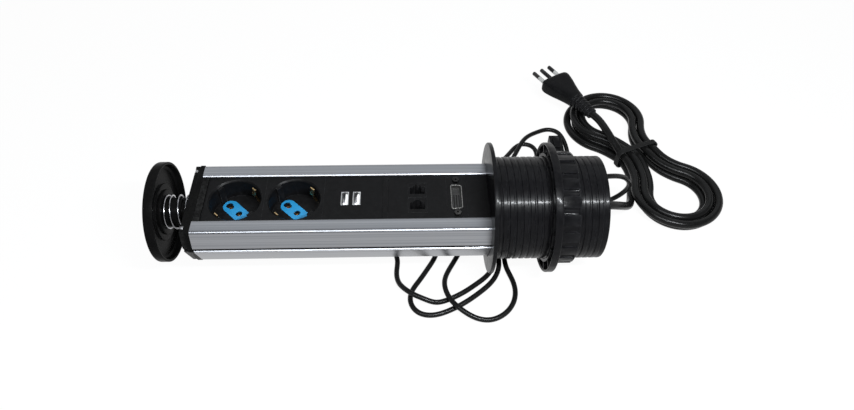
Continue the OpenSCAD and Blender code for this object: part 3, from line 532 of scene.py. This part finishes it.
def smoothPath(points, spacing, finer=4, least=8):
    # natural cubic spline through the points over their chord length, sampled at even steps
    points = np.asarray(points, float)
    t = runningLength(points)
    h = np.diff(t)
    count = len(points)
    system = np.eye(count)
    right = np.zeros_like(points)
    inner = np.arange(1, count - 1)
    system[inner, inner - 1] = h[:-1]
    system[inner, inner] = 2 * (h[:-1] + h[1:])
    system[inner, inner + 1] = h[1:]
    slope = np.diff(points, axis=0) / h[:, None]
    right[1:-1] = 6 * np.diff(slope, axis=0)
    bend = np.linalg.solve(system, right)
    fine = np.linspace(0, t[-1], max(least, int(t[-1] / spacing * finer)))
    k = np.clip(np.searchsorted(t, fine) - 1, 0, count - 2)
    a, b = (t[k + 1] - fine)[:, None], (fine - t[k])[:, None]
    w = h[k][:, None]
    curve = (bend[k] * a**3 + bend[k + 1] * b**3) / (6 * w)
    curve += (points[k] / w - bend[k] * w / 6) * a + (points[k + 1] / w - bend[k + 1] * w / 6) * b
    length = runningLength(curve)
    even = np.linspace(0, length[-1], max(least, int(round(length[-1] / spacing)) + 1))
    return np.stack([np.interp(even, length, curve[:, axis]) for axis in range(3)], axis=1)


def circleAngles(sides):
    # a full turn in even steps
    return np.linspace(0, 2 * np.pi, sides, endpoint=False)


def signedPower(value, power):
    # the power of its size, with its own sign: squares off a circle's sine and cosine
    return np.sign(value) * np.abs(value)**power


def turnFlat(x, y, degrees):
    # x and y turned about Z
    c, s = math.cos(math.radians(degrees)), math.sin(math.radians(degrees))
    return x * c - y * s, x * s + y * c


def sweepTube(path, radius, sides, aside=(0.0, 0.0, 1.0)):
    # a circle carried along the path, in the plane square to its direction
    direction = np.gradient(path, axis=0)
    direction /= np.linalg.norm(direction, axis=1)[:, None]
    across = np.cross(aside, direction)
    across /= np.linalg.norm(across, axis=1)[:, None]
    over = np.cross(direction, across)
    a = circleAngles(sides)[None, :, None]
    return path[:, None] + radius * (np.cos(a) * across[:, None] + np.sin(a) * over[:, None])


def roundedProfile(corners, steps=4):
    # polyline with each corner (x, r, rounding) replaced by a curve that touches both of its sides
    corners = np.asarray(corners, float)
    points = [corners[:1, :2]]
    for before, here, after in zip(corners[:-2], corners[1:-1], corners[2:]):
        if here[2] <= 0:
            points.append(here[None, :2])
            continue
        u, v = before[:2] - here[:2], after[:2] - here[:2]
        lu, lv = np.linalg.norm(u), np.linalg.norm(v)
        cut = min(here[2], lu / 2, lv / 2)
        w = np.linspace(0, 1, steps + 1)[:, None]
        start, end = here[:2] + u / lu * cut, here[:2] + v / lv * cut
        points.append((1 - w)**2 * start + 2 * w * (1 - w) * here[:2] + w**2 * end)
    points.append(corners[-1:, :2])
    return np.concatenate(points)


def turnProfile(profile, segments):
    # each profile point (along, radius) turned about the X axis: x, r cos a, r sin a
    a = circleAngles(segments)
    x = np.repeat(profile[:, :1], segments, axis=1)
    return x, profile[:, 1:] * np.cos(a), profile[:, 1:] * np.sin(a)


def onAxis(x, y, z):
    # points counted from the flange and the tower's axis, as metres in the frame
    return np.stack(np.broadcast_arrays(x + xShift, y, z + axisZ), axis=-1) * mm


def onFloor(points):
    # route points counted from the flange and the floor, as metres in the frame
    return (np.asarray(points, float) + [xShift, 0, 0]) * mm


def dressed(node, bevel):
    # a node's own mesh, merged and with its edges rounded; the piece is called as the node, in one word
    first, *rest = node.split("_")
    name = first + "".join(meshSettings["numbers"].get(word, word.capitalize()) for word in rest)
    mesh = nodes[node].data.copy()
    mesh.name = name
    mergeMesh(mesh, meshSettings["solidWithin"], False)
    piece = linkPiece(name, mesh, bodyOf[node], node, meshSettings["solidSharp"])
    if bevel:
        rounding = piece.modifiers.new("edges", "BEVEL")
        rounding.width = bevel * mm
        rounding.segments = meshSettings["bevelSegments"]
        rounding.limit_method = "ANGLE"
        rounding.angle_limit = math.radians(meshSettings["bevelAngle"])
        rounding.use_clamp_overlap = True
        rounding.harden_normals = True
    return piece


# Cords

dataCordSettings = {
    "diameter": 4.2,
    "sides": 16,
    "sharp": 60.0,  # edges that turn more stay sharp
    "spacing": 2.0,
    "route1": [
        (24.3, 16, 59), (34, 16, 59), (60, 18.5, 58.4), (84, 24.5, 57), (102, 30.5, 53),
        (115, 36.5, 46), (124, 41.5, 36), (128, 45, 25), (126, 47, 14.4), (119, 47, 6.6), (110, 45.5, 3),
        (100, 43, 2.1), (88, 39.5, 2.1), (74, 36, 2.1), (58, 33.5, 2.1), (38, 31, 2.1), (25, 27.5, 2.1),
        (18, 19, 2.1), (17.1, 6, 2.1), (17.1, -10, 2.1), (17.8, -22, 2.1), (21.5, -35, 2.1), (22.5, -47, 2.1),
        (19, -58, 2.1), (11, -67, 2.1), (0, -71.5, 2.4), (-11, -70.5, 4.4), (-21, -65, 6.8), (-29, -56, 7),
        (-33, -45, 6.4), (-32.5, -33, 3.8), (-28, -22, 2.3), (-21, -9, 2.1), (-14, 8, 2.1), (-8, 30, 2.1),
        (-1, 54, 2.1), (8, 75, 2.1), (19, 91, 2.1), (30, 103.4, 2.1), (35.5, 110.5, 2.1), (40.3, 116.5, 2.1),
        (45.8, 120.4, 2.1), (52.3, 120.5, 2.1), (57.4, 116.9, 2.1), (59.5, 111, 2.1), (59.5, 104, 2.1),
        (59, 96, 2.1), (58.7, 88.4, 2.1), (60.5, 82.2, 2.3), (65.7, 78.2, 2.6), (72, 78.2, 3.1),
        (77.2, 82.2, 3.6), (79, 88.4, 4), (79, 98, 4),
    ],
    "route2": [
        (24.3, 22, 47), (34, 22, 47), (60, 24.4, 47), (82, 28.5, 45), (92, 34, 42),
        (97, 42, 36.5), (96, 51, 29), (89, 57, 20), (79, 58.5, 11.4), (68, 56.4, 5.2), (57, 52.8, 2.5),
        (43, 48, 2.1), (29, 42.5, 2.1), (18, 34.5, 2.1), (13.2, 23, 2.1), (12.2, 8, 2.1), (12.25, -8, 2.1),
        (12, -20, 2.1), (7, -33, 2.1), (-5.5, -46, 2.1), (-19, -56, 2.1), (-32, -63, 2.1), (-44, -66.3, 2.1),
        (-54, -64, 2.1), (-60, -56, 2.1), (-60, -46, 2.1), (-54, -35, 2.1), (-46, -22, 2.1), (-39, -8, 2.1),
        (-38, 7, 2.1), (-46, 21, 2.1), (-62, 30, 2.1), (-88, 34, 2.1), (-114, 35, 2.1), (-127, 31, 2.1),
        (-131.5, 21.5, 2.1), (-126, 12, 2.1), (-108, 7, 2.1), (-88, 4, 2.1), (-76, -2, 2.1), (-71, -13, 2.1),
        (-71.5, -25, 2.2), (-70, -36, 3.6), (-65, -44.5, 6.4), (-58, -50.5, 7.3), (-50, -54, 6.2),
        (-41, -55.5, 3.4), (-31, -52.5, 2.2), (-18, -45.5, 2.1), (-7, -37.5, 2.1), (2, -29.4, 2.1),
        (6.9, -20.6, 2.1), (7.4, -8, 2.1), (7.4, 20, 2.1), (10.4, 44, 2.1), (20, 70, 2.1), (31, 92, 2.1),
        (40, 107, 4.8), (48, 120.5, 7.3), (57, 131, 5), (66, 138, 2.5), (75, 141, 2.1), (83, 138, 2.1),
        (87.5, 129, 2.2), (88.8, 118, 2.9), (88.6, 109, 4), (88.3, 103.27, 4),
    ],
}

mainsSettings = {
    "diameter": 7.0,
    "sides": 20,
    "sharp": 60.0,
    "spacing": 2.5,
    "run": [
        (50.3, 6, 43), (60, 6, 43), (74, 6.6, 42.8), (88, 9, 41.4), (101, 13.2, 37), (112.5, 19, 29.6),
        (121.6, 26, 20.8), (128.2, 33.5, 12.8), (132.6, 41.2, 7.4), (135.4, 48.6, 4.5), (137.4, 56.5, 3.55),
        (140, 68.5, 3.57), (140.3, 80, 4.4),
    ],
    "tail": [
        (132.2, 100.6, 15.5), (127.6, 110.6, 19), (123.2, 122, 21.6), (118.69, 133.39, 22.4), (114.5, 140.5, 22.4),
    ],
    "hankAt": (153.5, 98.0),
    "hankTurn": -66.0,
    "lobeAt": 54.0,
    "lobeRadius": 24.0,
    "waist": 4.2,
    "waistEase": 0.3,  # how much faster a quarter is walked at the waist
    "loops": 4,
    "steps": 96,
    "pitch": 7.8,
    "layer": 7.6,
    "waistLift": 2.0,
    "waistLiftReach": 12.0,
}


def hankBase(k, settings):
    # a loop of two round lobes and a drawn-in waist, walked four quarters a turn; a quarter is two arcs that touch
    c, r, w = settings["lobeAt"], settings["lobeRadius"], settings["waist"]
    waistRadius = (c * c + w * w - r * r) / (2 * (r - w))
    waistAngle = math.atan2(c, w + waistRadius)
    lobeAngle = math.pi / 2 + waistAngle
    share = waistRadius * waistAngle / (waistRadius * waistAngle + r * lobeAngle)
    turn = 4 * (k - np.floor(k))
    part = 1 - np.abs(1 - turn % 2)
    s = part * (1 + settings["waistEase"] - settings["waistEase"] * part)
    inner, outer = waistAngle * s / share, lobeAngle * (1 - s) / (1 - share)
    x = np.where(s < share, waistRadius * np.sin(inner), c + r * np.cos(outer))
    y = np.where(s < share, w + waistRadius * (1 - np.cos(inner)), r * np.sin(outer))
    return np.stack([np.where(turn < 2, -x, x), np.where((turn < 1) | (turn > 3), -y, y)], axis=1)


def hankPath(settings, aside=0.002):
    # the loop offset turn by turn: inwards on the floor, up in the middle half turn, outwards on top
    k = np.linspace(0, settings["loops"], settings["steps"] * settings["loops"] + 1)
    middle = settings["loops"] / 2
    d = hankBase(k + aside, settings) - hankBase(k - aside, settings)
    side = np.stack([-d[:, 1], d[:, 0]], axis=1) / np.linalg.norm(d, axis=1)[:, None]
    b = hankBase(k, settings) + (np.abs(k - middle) - 0.25)[:, None] * settings["pitch"] * side
    s = np.clip((k - middle) * 2 + 0.5, 0, 1)
    lift = settings["waistLift"] * np.exp(-(b[:, 0] / settings["waistLiftReach"])**2)
    height = settings["diameter"] / 2 + lift + settings["layer"] * s * s * (3 - 2 * s)
    x, y = turnFlat(b[:, 0], b[:, 1], settings["hankTurn"])
    return np.stack([settings["hankAt"][0] + x, settings["hankAt"][1] + y, height], axis=1)


def makeCord(name, points, settings, body, node):
    # round sheath swept along the smooth route, which nowhere dips below the floor
    path = smoothPath(onFloor(points), settings["spacing"] * mm)
    path[:, 2] = np.maximum(path[:, 2], settings["diameter"] / 2 * mm)
    grid = sweepTube(path, settings["diameter"] / 2 * mm, settings["sides"])
    return linkGrid(name, grid, body, node, settings["sharp"], caps=True), path


mainsPoints = np.concatenate([mainsSettings["run"], hankPath(mainsSettings), mainsSettings["tail"]])
mainsLead, mainsPath = makeCord("mainsLead", mainsPoints, mainsSettings, "tower", "mains_lead")
for number in (1, 2):
    route = dataCordSettings[f"route{number}"]
    cord, path = makeCord(f"dataCord{number}", route, dataCordSettings, None, f"data_cable_{number}")
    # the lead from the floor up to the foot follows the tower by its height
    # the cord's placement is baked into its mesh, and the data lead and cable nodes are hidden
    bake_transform(cord)
    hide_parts(f"data_lead_{number}", f"data_cable_{number}")


# Threaded tube with its flange and the mouth that guides the tower

tubeSettings = {
    "flangeRadius": 51.0,
    "flangeThickness": 3.0,
    "flangeRounding": (1.1, 0.5),  # outer and desk side
    "faceRadius": 40.5,
    "tubeRadius": 39.8,
    "neckRounding": 0.7,
    "neckEnd": 4.4,
    "boreRadius": 37.9,
    "tubeEnd": 86.0,
    "endLand": 1.6,
    "endRounding": (1.1, 0.5),  # outer and bore side
    "mouthRadius": 37.8,
    "mouthLength": 16.0,
    "mouthFlare": [(0.9, 0.0), (0.4, 0.06), (0.1, 0.3), (0.0, 0.7)],  # along, wider by
    "mouthStep": 1.0,
    "ribFace": 36.2,
    "ribMiddle": -0.75,
    "ribHalf": 1.2,
    "ribFlank": 0.04,  # half the angle over which a rib rises
    "threadPitch": 5.0,
    "threadDepth": 0.8,
    "threadStart": 4.7,
    "threadShort": 1.8,  # it stops this far before the end
    "threadFade": 4.0,
    "grooveHalf": 1.05,
    "grooveFlank": 0.4,
    "rowStep": 0.32,
    "columns": 168,
    "sharp": 40.0,
    "corners": (-73.0, -40.5, -4.6, 2.3, 25.0, 155.0, 177.7, 184.6, 220.5, 253.0, 287.0),
}


def mouthOutline(angle, settings):
    # flat-sided opening in polar form: between corners a and b, r = R cos((b - a) / 2) / cos(angle - (a + b) / 2)
    corners = np.radians(settings["corners"])
    k = np.clip(np.searchsorted(corners, angle, side="right") - 1, 0, len(corners) - 2)
    a, b = corners[k], corners[k + 1]
    radius = settings["mouthRadius"] * np.cos((b - a) / 2) / np.cos(angle - (a + b) / 2)
    lean = np.arcsin(np.sin(angle))
    rib = np.abs(settings["ribFace"] * np.tan(lean) - settings["ribMiddle"]) < settings["ribHalf"]
    return np.where(rib, settings["ribFace"] / np.cos(lean), radius)


def tubeAngles(settings):
    # even angles, and those of the mouth's corners and of both flanks of its ribs
    corners = settings["corners"]
    flanks = settings["ribMiddle"] + np.array([-1, 1]) * settings["ribHalf"]
    flanks = np.degrees(np.arctan(flanks / settings["ribFace"]))
    ribs = np.concatenate([flanks - settings["ribFlank"], flanks + settings["ribFlank"]])
    even = np.linspace(corners[0], corners[-1], settings["columns"], endpoint=False)
    return np.radians(np.unique(np.concatenate([even, corners[:-1], ribs, 180 - ribs])))


def makeThread(angle, settings):
    # r = R - depth * groove(along / pitch - angle / turn), faded out at both ends
    start, end = settings["threadStart"], settings["tubeEnd"] - settings["threadShort"]
    along = np.arange(start, end, settings["rowStep"])
    phase = along[:, None] / settings["threadPitch"] - angle[None, :] / (2 * np.pi)
    away = np.abs(phase - np.round(phase)) * settings["threadPitch"]
    groove = np.clip((settings["grooveHalf"] - away) / settings["grooveFlank"], 0, 1)
    fade = np.clip((along - start) / settings["threadFade"], 0, 1)
    fade = fade * np.clip((end - along) / settings["threadFade"], 0, 1)
    return along, settings["tubeRadius"] - settings["threadDepth"] * groove**2 * (3 - 2 * groove) * fade[:, None]


def makeThreadedTube(settings):
    # one closed loop of radii over (along, angle): mouth, flange, thread, end and bore
    angle = tubeAngles(settings)
    length, radius, bore = settings["mouthLength"], settings["tubeRadius"], settings["boreRadius"]
    end, flange, thick = settings["tubeEnd"], settings["flangeRadius"], settings["flangeThickness"]
    outerEdge, deskEdge = settings["flangeRounding"]
    endEdge, boreEdge = settings["endRounding"]
    inside = np.array([(length, 0.0), *settings["mouthFlare"]])
    front = roundedProfile([
        (0, settings["faceRadius"], 0), (0, flange, outerEdge), (thick, flange, deskEdge),
        (thick, radius, settings["neckRounding"]), (settings["neckEnd"], radius, 0)])
    back = roundedProfile([
        (end - settings["endLand"], radius, 0), (end, radius, endEdge), (end, bore, boreEdge),
        (length + settings["mouthStep"], bore, 0), (length, bore, 0)])
    along, thread = makeThread(angle, settings)
    wide = np.ones(len(angle))
    mouth = mouthOutline(angle, settings) + inside[:, 1:]
    r = np.concatenate([mouth, front[:, 1:] * wide, thread, back[:, 1:] * wide])
    x = np.concatenate([inside[:, 0], front[:, 0], along, back[:, 0]])[:, None]
    grid = onAxis(x, r * np.cos(angle), r * np.sin(angle))
    return linkGrid("threadedTube", grid, "tube", "threaded_tube", settings["sharp"], wrapRows=True)


makeThreadedTube(tubeSettings)
print("threaded tube made")


# Aluminium profile of the tower

towerSettings = {
    "start": -220.8,
    "end": 16.3,
    "roundSteps": 7,
    "sharp": 40.0,
    # right half of the section: across, up, rounding
    "outer": [
        (20.7, 10.95, 0.3), (22.6, 10.95, 0.2), (22.6, 13.45, 0.2), (22.0, 13.45, 0.15), (22.0, 15.1, 0.3),
        (23.1, 15.85, 0.3), (33.99, 15.85, 2.6), (37.47, 1.51, 2.5), (37.45, 0.75, 0.35), (35.9, 0.75, 0.2),
        (35.9, -2.25, 0.2), (36.4, -2.25, 0.2), (37.39, -2.95, 0.3), (28.52, -24.35, 2.5), (10.96, -35.86, 2.5),
    ],
    "inner": [
        (10.34, -33.82, 1.5), (26.9, -22.97, 1.5), (35.26, -2.84, 0.5), (35.34, 1.42, 0.5), (33.42, 9.35, 0.6),
        (20.7, 9.35, 0.3),
    ],
}


def makeTowerProfile(settings):
    # the rounded C-shaped section, both halves as one loop, drawn out along X
    outer, inner = np.array(settings["outer"]), np.array(settings["inner"])
    left = np.array([-1.0, 1.0, 1.0])
    loop = np.concatenate([outer, outer[::-1] * left, inner[::-1] * left, inner])
    ring = roundedProfile(np.concatenate([loop[-1:], loop, loop[:1]]), settings["roundSteps"])[1:-1]
    x = np.array([settings["start"], settings["end"]])[:, None]
    grid = onAxis(x, ring[None, :, 0], ring[None, :, 1])
    return linkGrid("towerProfile", grid, "tower", "tower_profile", settings["sharp"], caps=True)


makeTowerProfile(towerSettings)
print("tower profile made")


# Push cap, its stem and retainer, and the spring

# turned outlines: along, radius, rounding
capSettings = {
    "segments": 144,
    "roundSteps": 5,
    "sharp": 50.0,
    "outline": [
        (-252.5, 0, 0), (-252.5, 38.6, 1.9), (-245.0, 38.6, 0.7), (-245.0, 36.7, 0.6), (-249.2, 35.8, 0.7),
        (-250.0, 34.2, 0.9), (-250.0, 22.0, 0.4), (-248.5, 22.0, 0.4), (-248.5, 17.4, 0.3), (-250.0, 17.4, 0),
        (-250.0, 0, 0),
    ],
}

stemSettings = {
    "segments": 96,
    "roundSteps": 4,
    "sharp": 50.0,
    "outline": [
        (-250.0, 9.4, 0), (-250.0, 17.2, 0.3), (-247.0, 17.2, 0.7), (-247.0, 11.0, 0.8), (-234.2, 11.0, 0.5),
        (-234.2, 9.4, 0.3), (-249.8, 9.4, 0),
    ],
}

retainerSettings = {
    "segments": 64,
    "roundSteps": 4,
    "sharp": 50.0,
    "outline": [
        (-250.0, 0, 0), (-250.0, 3.0, 0.2), (-235.4, 3.0, 0.2), (-235.4, 6.1, 0.3), (-232.9, 6.1, 0.4),
        (-232.9, 0, 0),
    ],
}

springSettings = {
    "start": -247.0,
    "end": -228.0,
    "radius": 12.8,
    "wire": 1.2,
    "turns": 4,
    "flatTurns": 0.75,
    "flatPitch": 1.3,  # wires for each flat turn
    "stepsPerTurn": 48,
    "sides": 12,
    "sharp": 60.0,
}


def makeTurned(name, node, settings, ring=False):
    # a rounded outline turned about the tower's axis; a ring is closed on itself
    profile = roundedProfile(settings["outline"], settings["roundSteps"])
    grid = onAxis(*turnProfile(profile, settings["segments"]))
    return linkGrid(name, grid, "cap", node, settings["sharp"], wrapRows=ring)


def makeSpring(settings):
    # helix about the tower's axis: a part of a turn lies flat at each end, the rest climbs evenly
    wire, turns, level = settings["wire"], settings["turns"], settings["flatTurns"]
    turn = np.linspace(0, turns, turns * settings["stepsPerTurn"] + 1)
    middle = np.clip((turn - level) / (turns - 2 * level), 0, 1)
    flat = settings["flatPitch"] * wire
    reach = settings["end"] - settings["start"] - wire - 2 * level * flat
    ends = np.minimum(turn, level) + np.maximum(0, turn - turns + level)
    a, radius = 2 * np.pi * turn, settings["radius"]
    along = settings["start"] + wire / 2 + reach * middle + flat * ends
    path = onAxis(along, radius * np.cos(a), radius * np.sin(a))
    grid = sweepTube(path, wire / 2 * mm, settings["sides"], aside=(1.0, 0.0, 0.0))
    spring = linkGrid("capSpring", grid, "tower", "cap_spring", settings["sharp"], caps=True)
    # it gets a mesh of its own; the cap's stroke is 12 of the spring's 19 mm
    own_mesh(spring)


makeTurned("pushCap", "push_cap", capSettings)
makeTurned("capStem", "cap_stem", stemSettings, ring=True)
makeTurned("capRetainer", "cap_retainer", retainerSettings)
makeSpring(springSettings)
print("push cap and spring made")


# Mains plug and the tie of the hank

plugSettings = {
    "at": (114.5, 140.5, 22.4),
    "turn": 120.5,
    "tail": 23.0,
    "length": 36.0,
    "bodyRows": ((0, 33, 45), (33, 36, 14)),  # from, to, count
    "bodySides": 72,
    "bodySharp": 48.0,
    # body: along, half width, half height, squareness
    "outline": [
        (0, 8.2, 6.8, 2.3), (3, 8.5, 6.95, 2.5), (8, 9.4, 7.05, 2.9), (15, 11.4, 7.25, 3.4), (21, 13.1, 7.5, 4.2),
        (26, 14.3, 7.45, 5.0), (30, 15.2, 7.3, 5.5), (33, 15.3, 7.05, 5.5), (34.8, 14.7, 6.6, 5.0),
        (35.7, 13.8, 5.9, 4.5), (36, 12.9, 5.3, 4.0),
    ],
    "pinPitch": 9.5,
    "pinRadius": 2.0,
    "pinLength": 19.0,
    "pinRoot": 6.0,
    "pinTip": 1.7,
    "pinTipSteps": 6,
    "pinSides": 32,
    "pinSharp": 50.0,
    "sleeveLength": 9.6,
    "sleeveWall": 0.5,
    "sleeveRounding": 0.2,
    # strain relief: points of one rib, which of them lie in its groove, and by how much its edges are lower
    "ribs": 6,
    "ribStep": 3.6,
    "ribAlong": (0.0, 0.35, 1.85, 2.25, 2.5, 3.25),
    "ribInGroove": (0, 0, 0, 0, 1, 1),
    "ribLower": (0.35, 0.0, 0.0, 0.35, 0.0, 0.0),
    "ribRadius": (5.2, 0.36),  # the first rib, and what each next one has more
    "grooveRadius": (4.6, 0.3),
    "reliefEnd": [(21.7, 6.7), (22.0, 6.8), (24.0, 6.8), (24.0, 0.0)],
    "reliefSides": 48,
}

tieSettings = {
    "along": -3.0,
    "width": 5.0,
    "thickness": 1.2,
    "cornerRounding": 3.2,
    "roundSteps": 6,
    "sides": 20,
    "sharp": 50.0,
    "edgePower": (0.35, 0.6),  # across and through the strap; 1 would be an ellipse
    "middle": [
        (-4, 0.7), (17, 0.7), (19.8, 3.4), (19.8, 14.6), (16.6, 17.8), (-8, 19.6), (-20.6, 19.6), (-23.6, 16.6),
        (-23.6, 3.4), (-20.6, 0.7), (-4, 0.7),
    ],
}


def onPlug(x, y, z, settings):
    # points along, across and up on the plug, turned about Z onto the end of the tail
    atX, atY, atZ = settings["at"]
    x, y = turnFlat(x, y, settings["turn"])
    return onFloor(np.stack([atX + x, atY + y, atZ + z], axis=-1))


def plugTurned(profile, across, segments, settings):
    # profile (along, radius) turned about a line beside the plug's axis
    x, y, z = turnProfile(profile, segments)
    return onPlug(x, across + y, z, settings)


def makePlugBody(settings):
    # superellipses of half width w and half height h, |y/w|^n + |z/h|^n = 1, blended along the plug
    table = np.array(settings["outline"], float)
    along = np.unique(np.concatenate([np.linspace(*rows) for rows in settings["bodyRows"]]))
    w, h, n = (np.interp(along, table[:, 0], table[:, column])[:, None] for column in (1, 2, 3))
    a = circleAngles(settings["bodySides"])[None, :]
    x = np.repeat(along[:, None] + settings["tail"], settings["bodySides"], axis=1)
    body = onPlug(x, w * signedPower(np.cos(a), 2 / n), h * signedPower(np.sin(a), 2 / n), settings)
    # strain relief: ribs that grow towards the body, with narrow grooves between them
    i = np.arange(settings["ribs"])[:, None]
    rib, groove = (first + more * i for first, more in (settings["ribRadius"], settings["grooveRadius"]))
    ribX = settings["ribStep"] * i + np.array(settings["ribAlong"])
    ribR = np.where(settings["ribInGroove"], groove, rib) - np.array(settings["ribLower"])
    ribs = np.stack([ribX.ravel(), ribR.ravel()], axis=1)
    relief = np.concatenate([[(0.0, 0.0)], ribs, settings["reliefEnd"]])
    points, faces = joinGrids([body, plugTurned(relief, 0.0, settings["reliefSides"], settings)])
    linkMesh("plugBody", points, faces, "tower", "plug_body", settings["bodySharp"])


def makePlugPins(settings):
    # three turned pins in a row; the outer two are thinner inside their sleeves
    r, wall, sides = settings["pinRadius"], settings["sleeveWall"], settings["pinSides"]
    nose = settings["tail"] + settings["length"]
    root, neck, tip = nose - settings["pinRoot"], nose + settings["sleeveLength"], nose + settings["pinLength"]
    pins, sleeves = [], []
    for side in (-1, 0, 1):
        bare = r - wall if side else r
        pin = roundedProfile([
            (root, 0, 0), (root, r, 0), (nose, r, 0), (nose, bare, 0), (neck, bare, 0), (neck, r, 0),
            (tip, r, settings["pinTip"]), (tip, 0, 0)], settings["pinTipSteps"])
        pins.append(plugTurned(pin, side * settings["pinPitch"], sides, settings))
        if side:
            sleeve = [(nose, bare, 0), (nose, r, 0), (neck, r, settings["sleeveRounding"]), (neck, bare, 0)]
            sleeves.append(plugTurned(roundedProfile(sleeve), side * settings["pinPitch"], sides, settings))
    linkMesh("plugPins", *joinGrids(pins), "tower", "plug_pins", settings["pinSharp"])
    linkMesh("plugSleeves", *joinGrids(sleeves), "tower", "plug_sleeves", settings["pinSharp"])


def makeTie(settings, hank):
    # flat strap: a rounded bar carried round the rounded outline of the waist
    corners = [(v, z, settings["cornerRounding"]) for v, z in settings["middle"]]
    loop = roundedProfile(corners, settings["roundSteps"])[:-1]
    ahead = np.roll(loop, -1, axis=0) - np.roll(loop, 1, axis=0)
    ahead /= np.linalg.norm(ahead, axis=1)[:, None]
    out = np.stack([ahead[:, 1], -ahead[:, 0]], axis=1)
    a = circleAngles(settings["sides"])
    acrossPower, throughPower = settings["edgePower"]
    wide = settings["width"] / 2 * signedPower(np.cos(a), acrossPower)
    thick = settings["thickness"] / 2 * signedPower(np.sin(a), throughPower)
    u = settings["along"] + np.repeat(wide[None, :], len(loop), axis=0)
    v = loop[:, :1] + out[:, :1] * thick
    z = loop[:, 1:] + out[:, 1:] * thick
    x, y = turnFlat(u, v, hank["hankTurn"])
    grid = onFloor(np.stack([hank["hankAt"][0] + x, hank["hankAt"][1] + y, z], axis=2))
    return linkGrid("hankTie", grid, "tower", "hank_tie", settings["sharp"], wrapRows=True)


makePlugBody(plugSettings)
makePlugPins(plugSettings)
makeTie(tieSettings, mainsSettings)
print("plug and tie made")


# Pieces that keep the solid's shape: node and rounding of its edges

dressedSettings = {
    "end_cap": 0.5, "end_cap_screws": 0.12, "foot_plate": 0.4, "foot_screws": 0.12,
    "socket_1": 0.35, "socket_2": 0.35, "socket_insert_1": 0.4, "socket_insert_2": 0.4,
    "earth_clips_1": 0.12, "earth_clips_2": 0.12, "line_busbar": 0.12, "neutral_busbar": 0.12, "earth_busbar": 0.12,
    "usb_panel": 0.25, "usb_shells": 0.1, "usb_tongues": 0.15, "usb_board": 0.1, "divider_strip": 0.25,
    "data_panel": 0.25, "data_jack_1": 0.2, "data_jack_2": 0.2, "jack_contacts_1": 0.0, "jack_contacts_2": 0.0,
    "video_panel": 0.25, "video_shell": 0.15, "video_insert": 0.12, "video_screws": 0.15,
    "blank_panel": 0.25, "mains_gland": 0.15, "pressure_ring": 0.35, "lock_nut": 0.45,
    "data_plug_1": 0.3, "data_plug_2": 0.3,
}
made = {node: dressed(node, bevel) for node, bevel in dressedSettings.items()}
print("dressed pieces:", len(made))


# Stage and light

stageSettings = {
    "floorSize": 30.0,
    "floorLevel": -0.0004,
    "wallHeight": 5.6,
    "floorGlow": 0.95,
    "floorGrey": (0.85, 0.85, 0.85),
    "worldStrength": 0.25,
    "tint": (0.94, 0.97, 1.0),
    "lamps": [
        # name, place, aim, length, width, watts
        ("tubeStrip", (0.235, -0.275, 0.527), (0.235, 0.0, 0.05), 0.22, 0.02, 5.0),
        ("railStrip", (-0.1, -0.275, 0.527), (-0.1, 0.0, 0.05), 0.45, 0.16, 2.4),
        ("backPanel", (0.0, 0.75, 0.9), (0.0, 0.0, 0.05), 1.8, 0.8, 3.6),
    ],
}


def makeFloor(settings):
    # a wide square just below the object, with a low wall round it as backdrop
    corners = np.array([(-1, -1), (1, -1), (1, 1), (-1, 1)]) * settings["floorSize"] / 2
    levels = np.repeat([settings["floorLevel"], settings["wallHeight"]], 4)[:, None]
    points = np.hstack([np.tile(corners, (2, 1)), levels])
    mesh = bpy.data.meshes.new("floor")
    mesh.from_pydata(points.tolist(), [], [(0, 1, 2, 3), (1, 0, 4, 5), (2, 1, 5, 6), (3, 2, 6, 7), (0, 3, 7, 4)])
    floor = bpy.data.objects.new("floor", mesh)
    bpy.context.scene.collection.objects.link(floor)
    # white to the eye and in reflections, pale grey that takes shadow otherwise
    material = bpy.data.materials.new("floorWhite")
    material.use_nodes = True
    tree = material.node_tree
    tree.nodes.clear()
    out = tree.nodes.new("ShaderNodeOutputMaterial")
    mix = tree.nodes.new("ShaderNodeMixShader")
    glow = tree.nodes.new("ShaderNodeEmission")
    matt = tree.nodes.new("ShaderNodeBsdfDiffuse")
    ray = tree.nodes.new("ShaderNodeLightPath")
    seen = addMath(tree, "MAXIMUM", ray.outputs["Is Camera Ray"], ray.outputs["Is Glossy Ray"])
    seen = addMath(tree, "MAXIMUM", seen, ray.outputs["Is Transmission Ray"])
    tree.links.new(addMath(tree, "MULTIPLY", seen, settings["floorGlow"]), mix.inputs["Fac"])
    feed(tree, glow.inputs["Color"], (1.0, 1.0, 1.0))
    feed(tree, glow.inputs["Strength"], 1.0)
    feed(tree, matt.inputs["Color"], settings["floorGrey"])
    tree.links.new(matt.outputs[0], mix.inputs[1])
    tree.links.new(glow.outputs[0], mix.inputs[2])
    tree.links.new(mix.outputs[0], out.inputs["Surface"])
    floor.data.materials.append(material)


def makeLight(settings):
    # an even dim world, and flat lamps that look at their aims
    world = bpy.data.worlds.new("studio")
    bpy.context.scene.world = world
    world.use_nodes = True
    sky = world.node_tree.nodes["Background"]
    feed(world.node_tree, sky.inputs["Color"], settings["tint"])
    feed(world.node_tree, sky.inputs["Strength"], settings["worldStrength"])
    for name, place, aim, length, width, watts in settings["lamps"]:
        lamp = bpy.data.lights.new(name, "AREA")
        lamp.energy = watts
        lamp.color = settings["tint"]
        lamp.shape = "RECTANGLE"
        lamp.size, lamp.size_y = length, width
        lampObject = bpy.data.objects.new(name, lamp)
        turn = (Vector(aim) - Vector(place)).to_track_quat("-Z", "Y").to_matrix().to_4x4()
        lampObject.matrix_world = Matrix.Translation(place) @ turn
        bpy.context.scene.collection.objects.link(lampObject)


makeFloor(stageSettings)
makeLight(stageSettings)
bpy.context.scene.view_settings.view_transform = "Standard"
print("stage and light set")
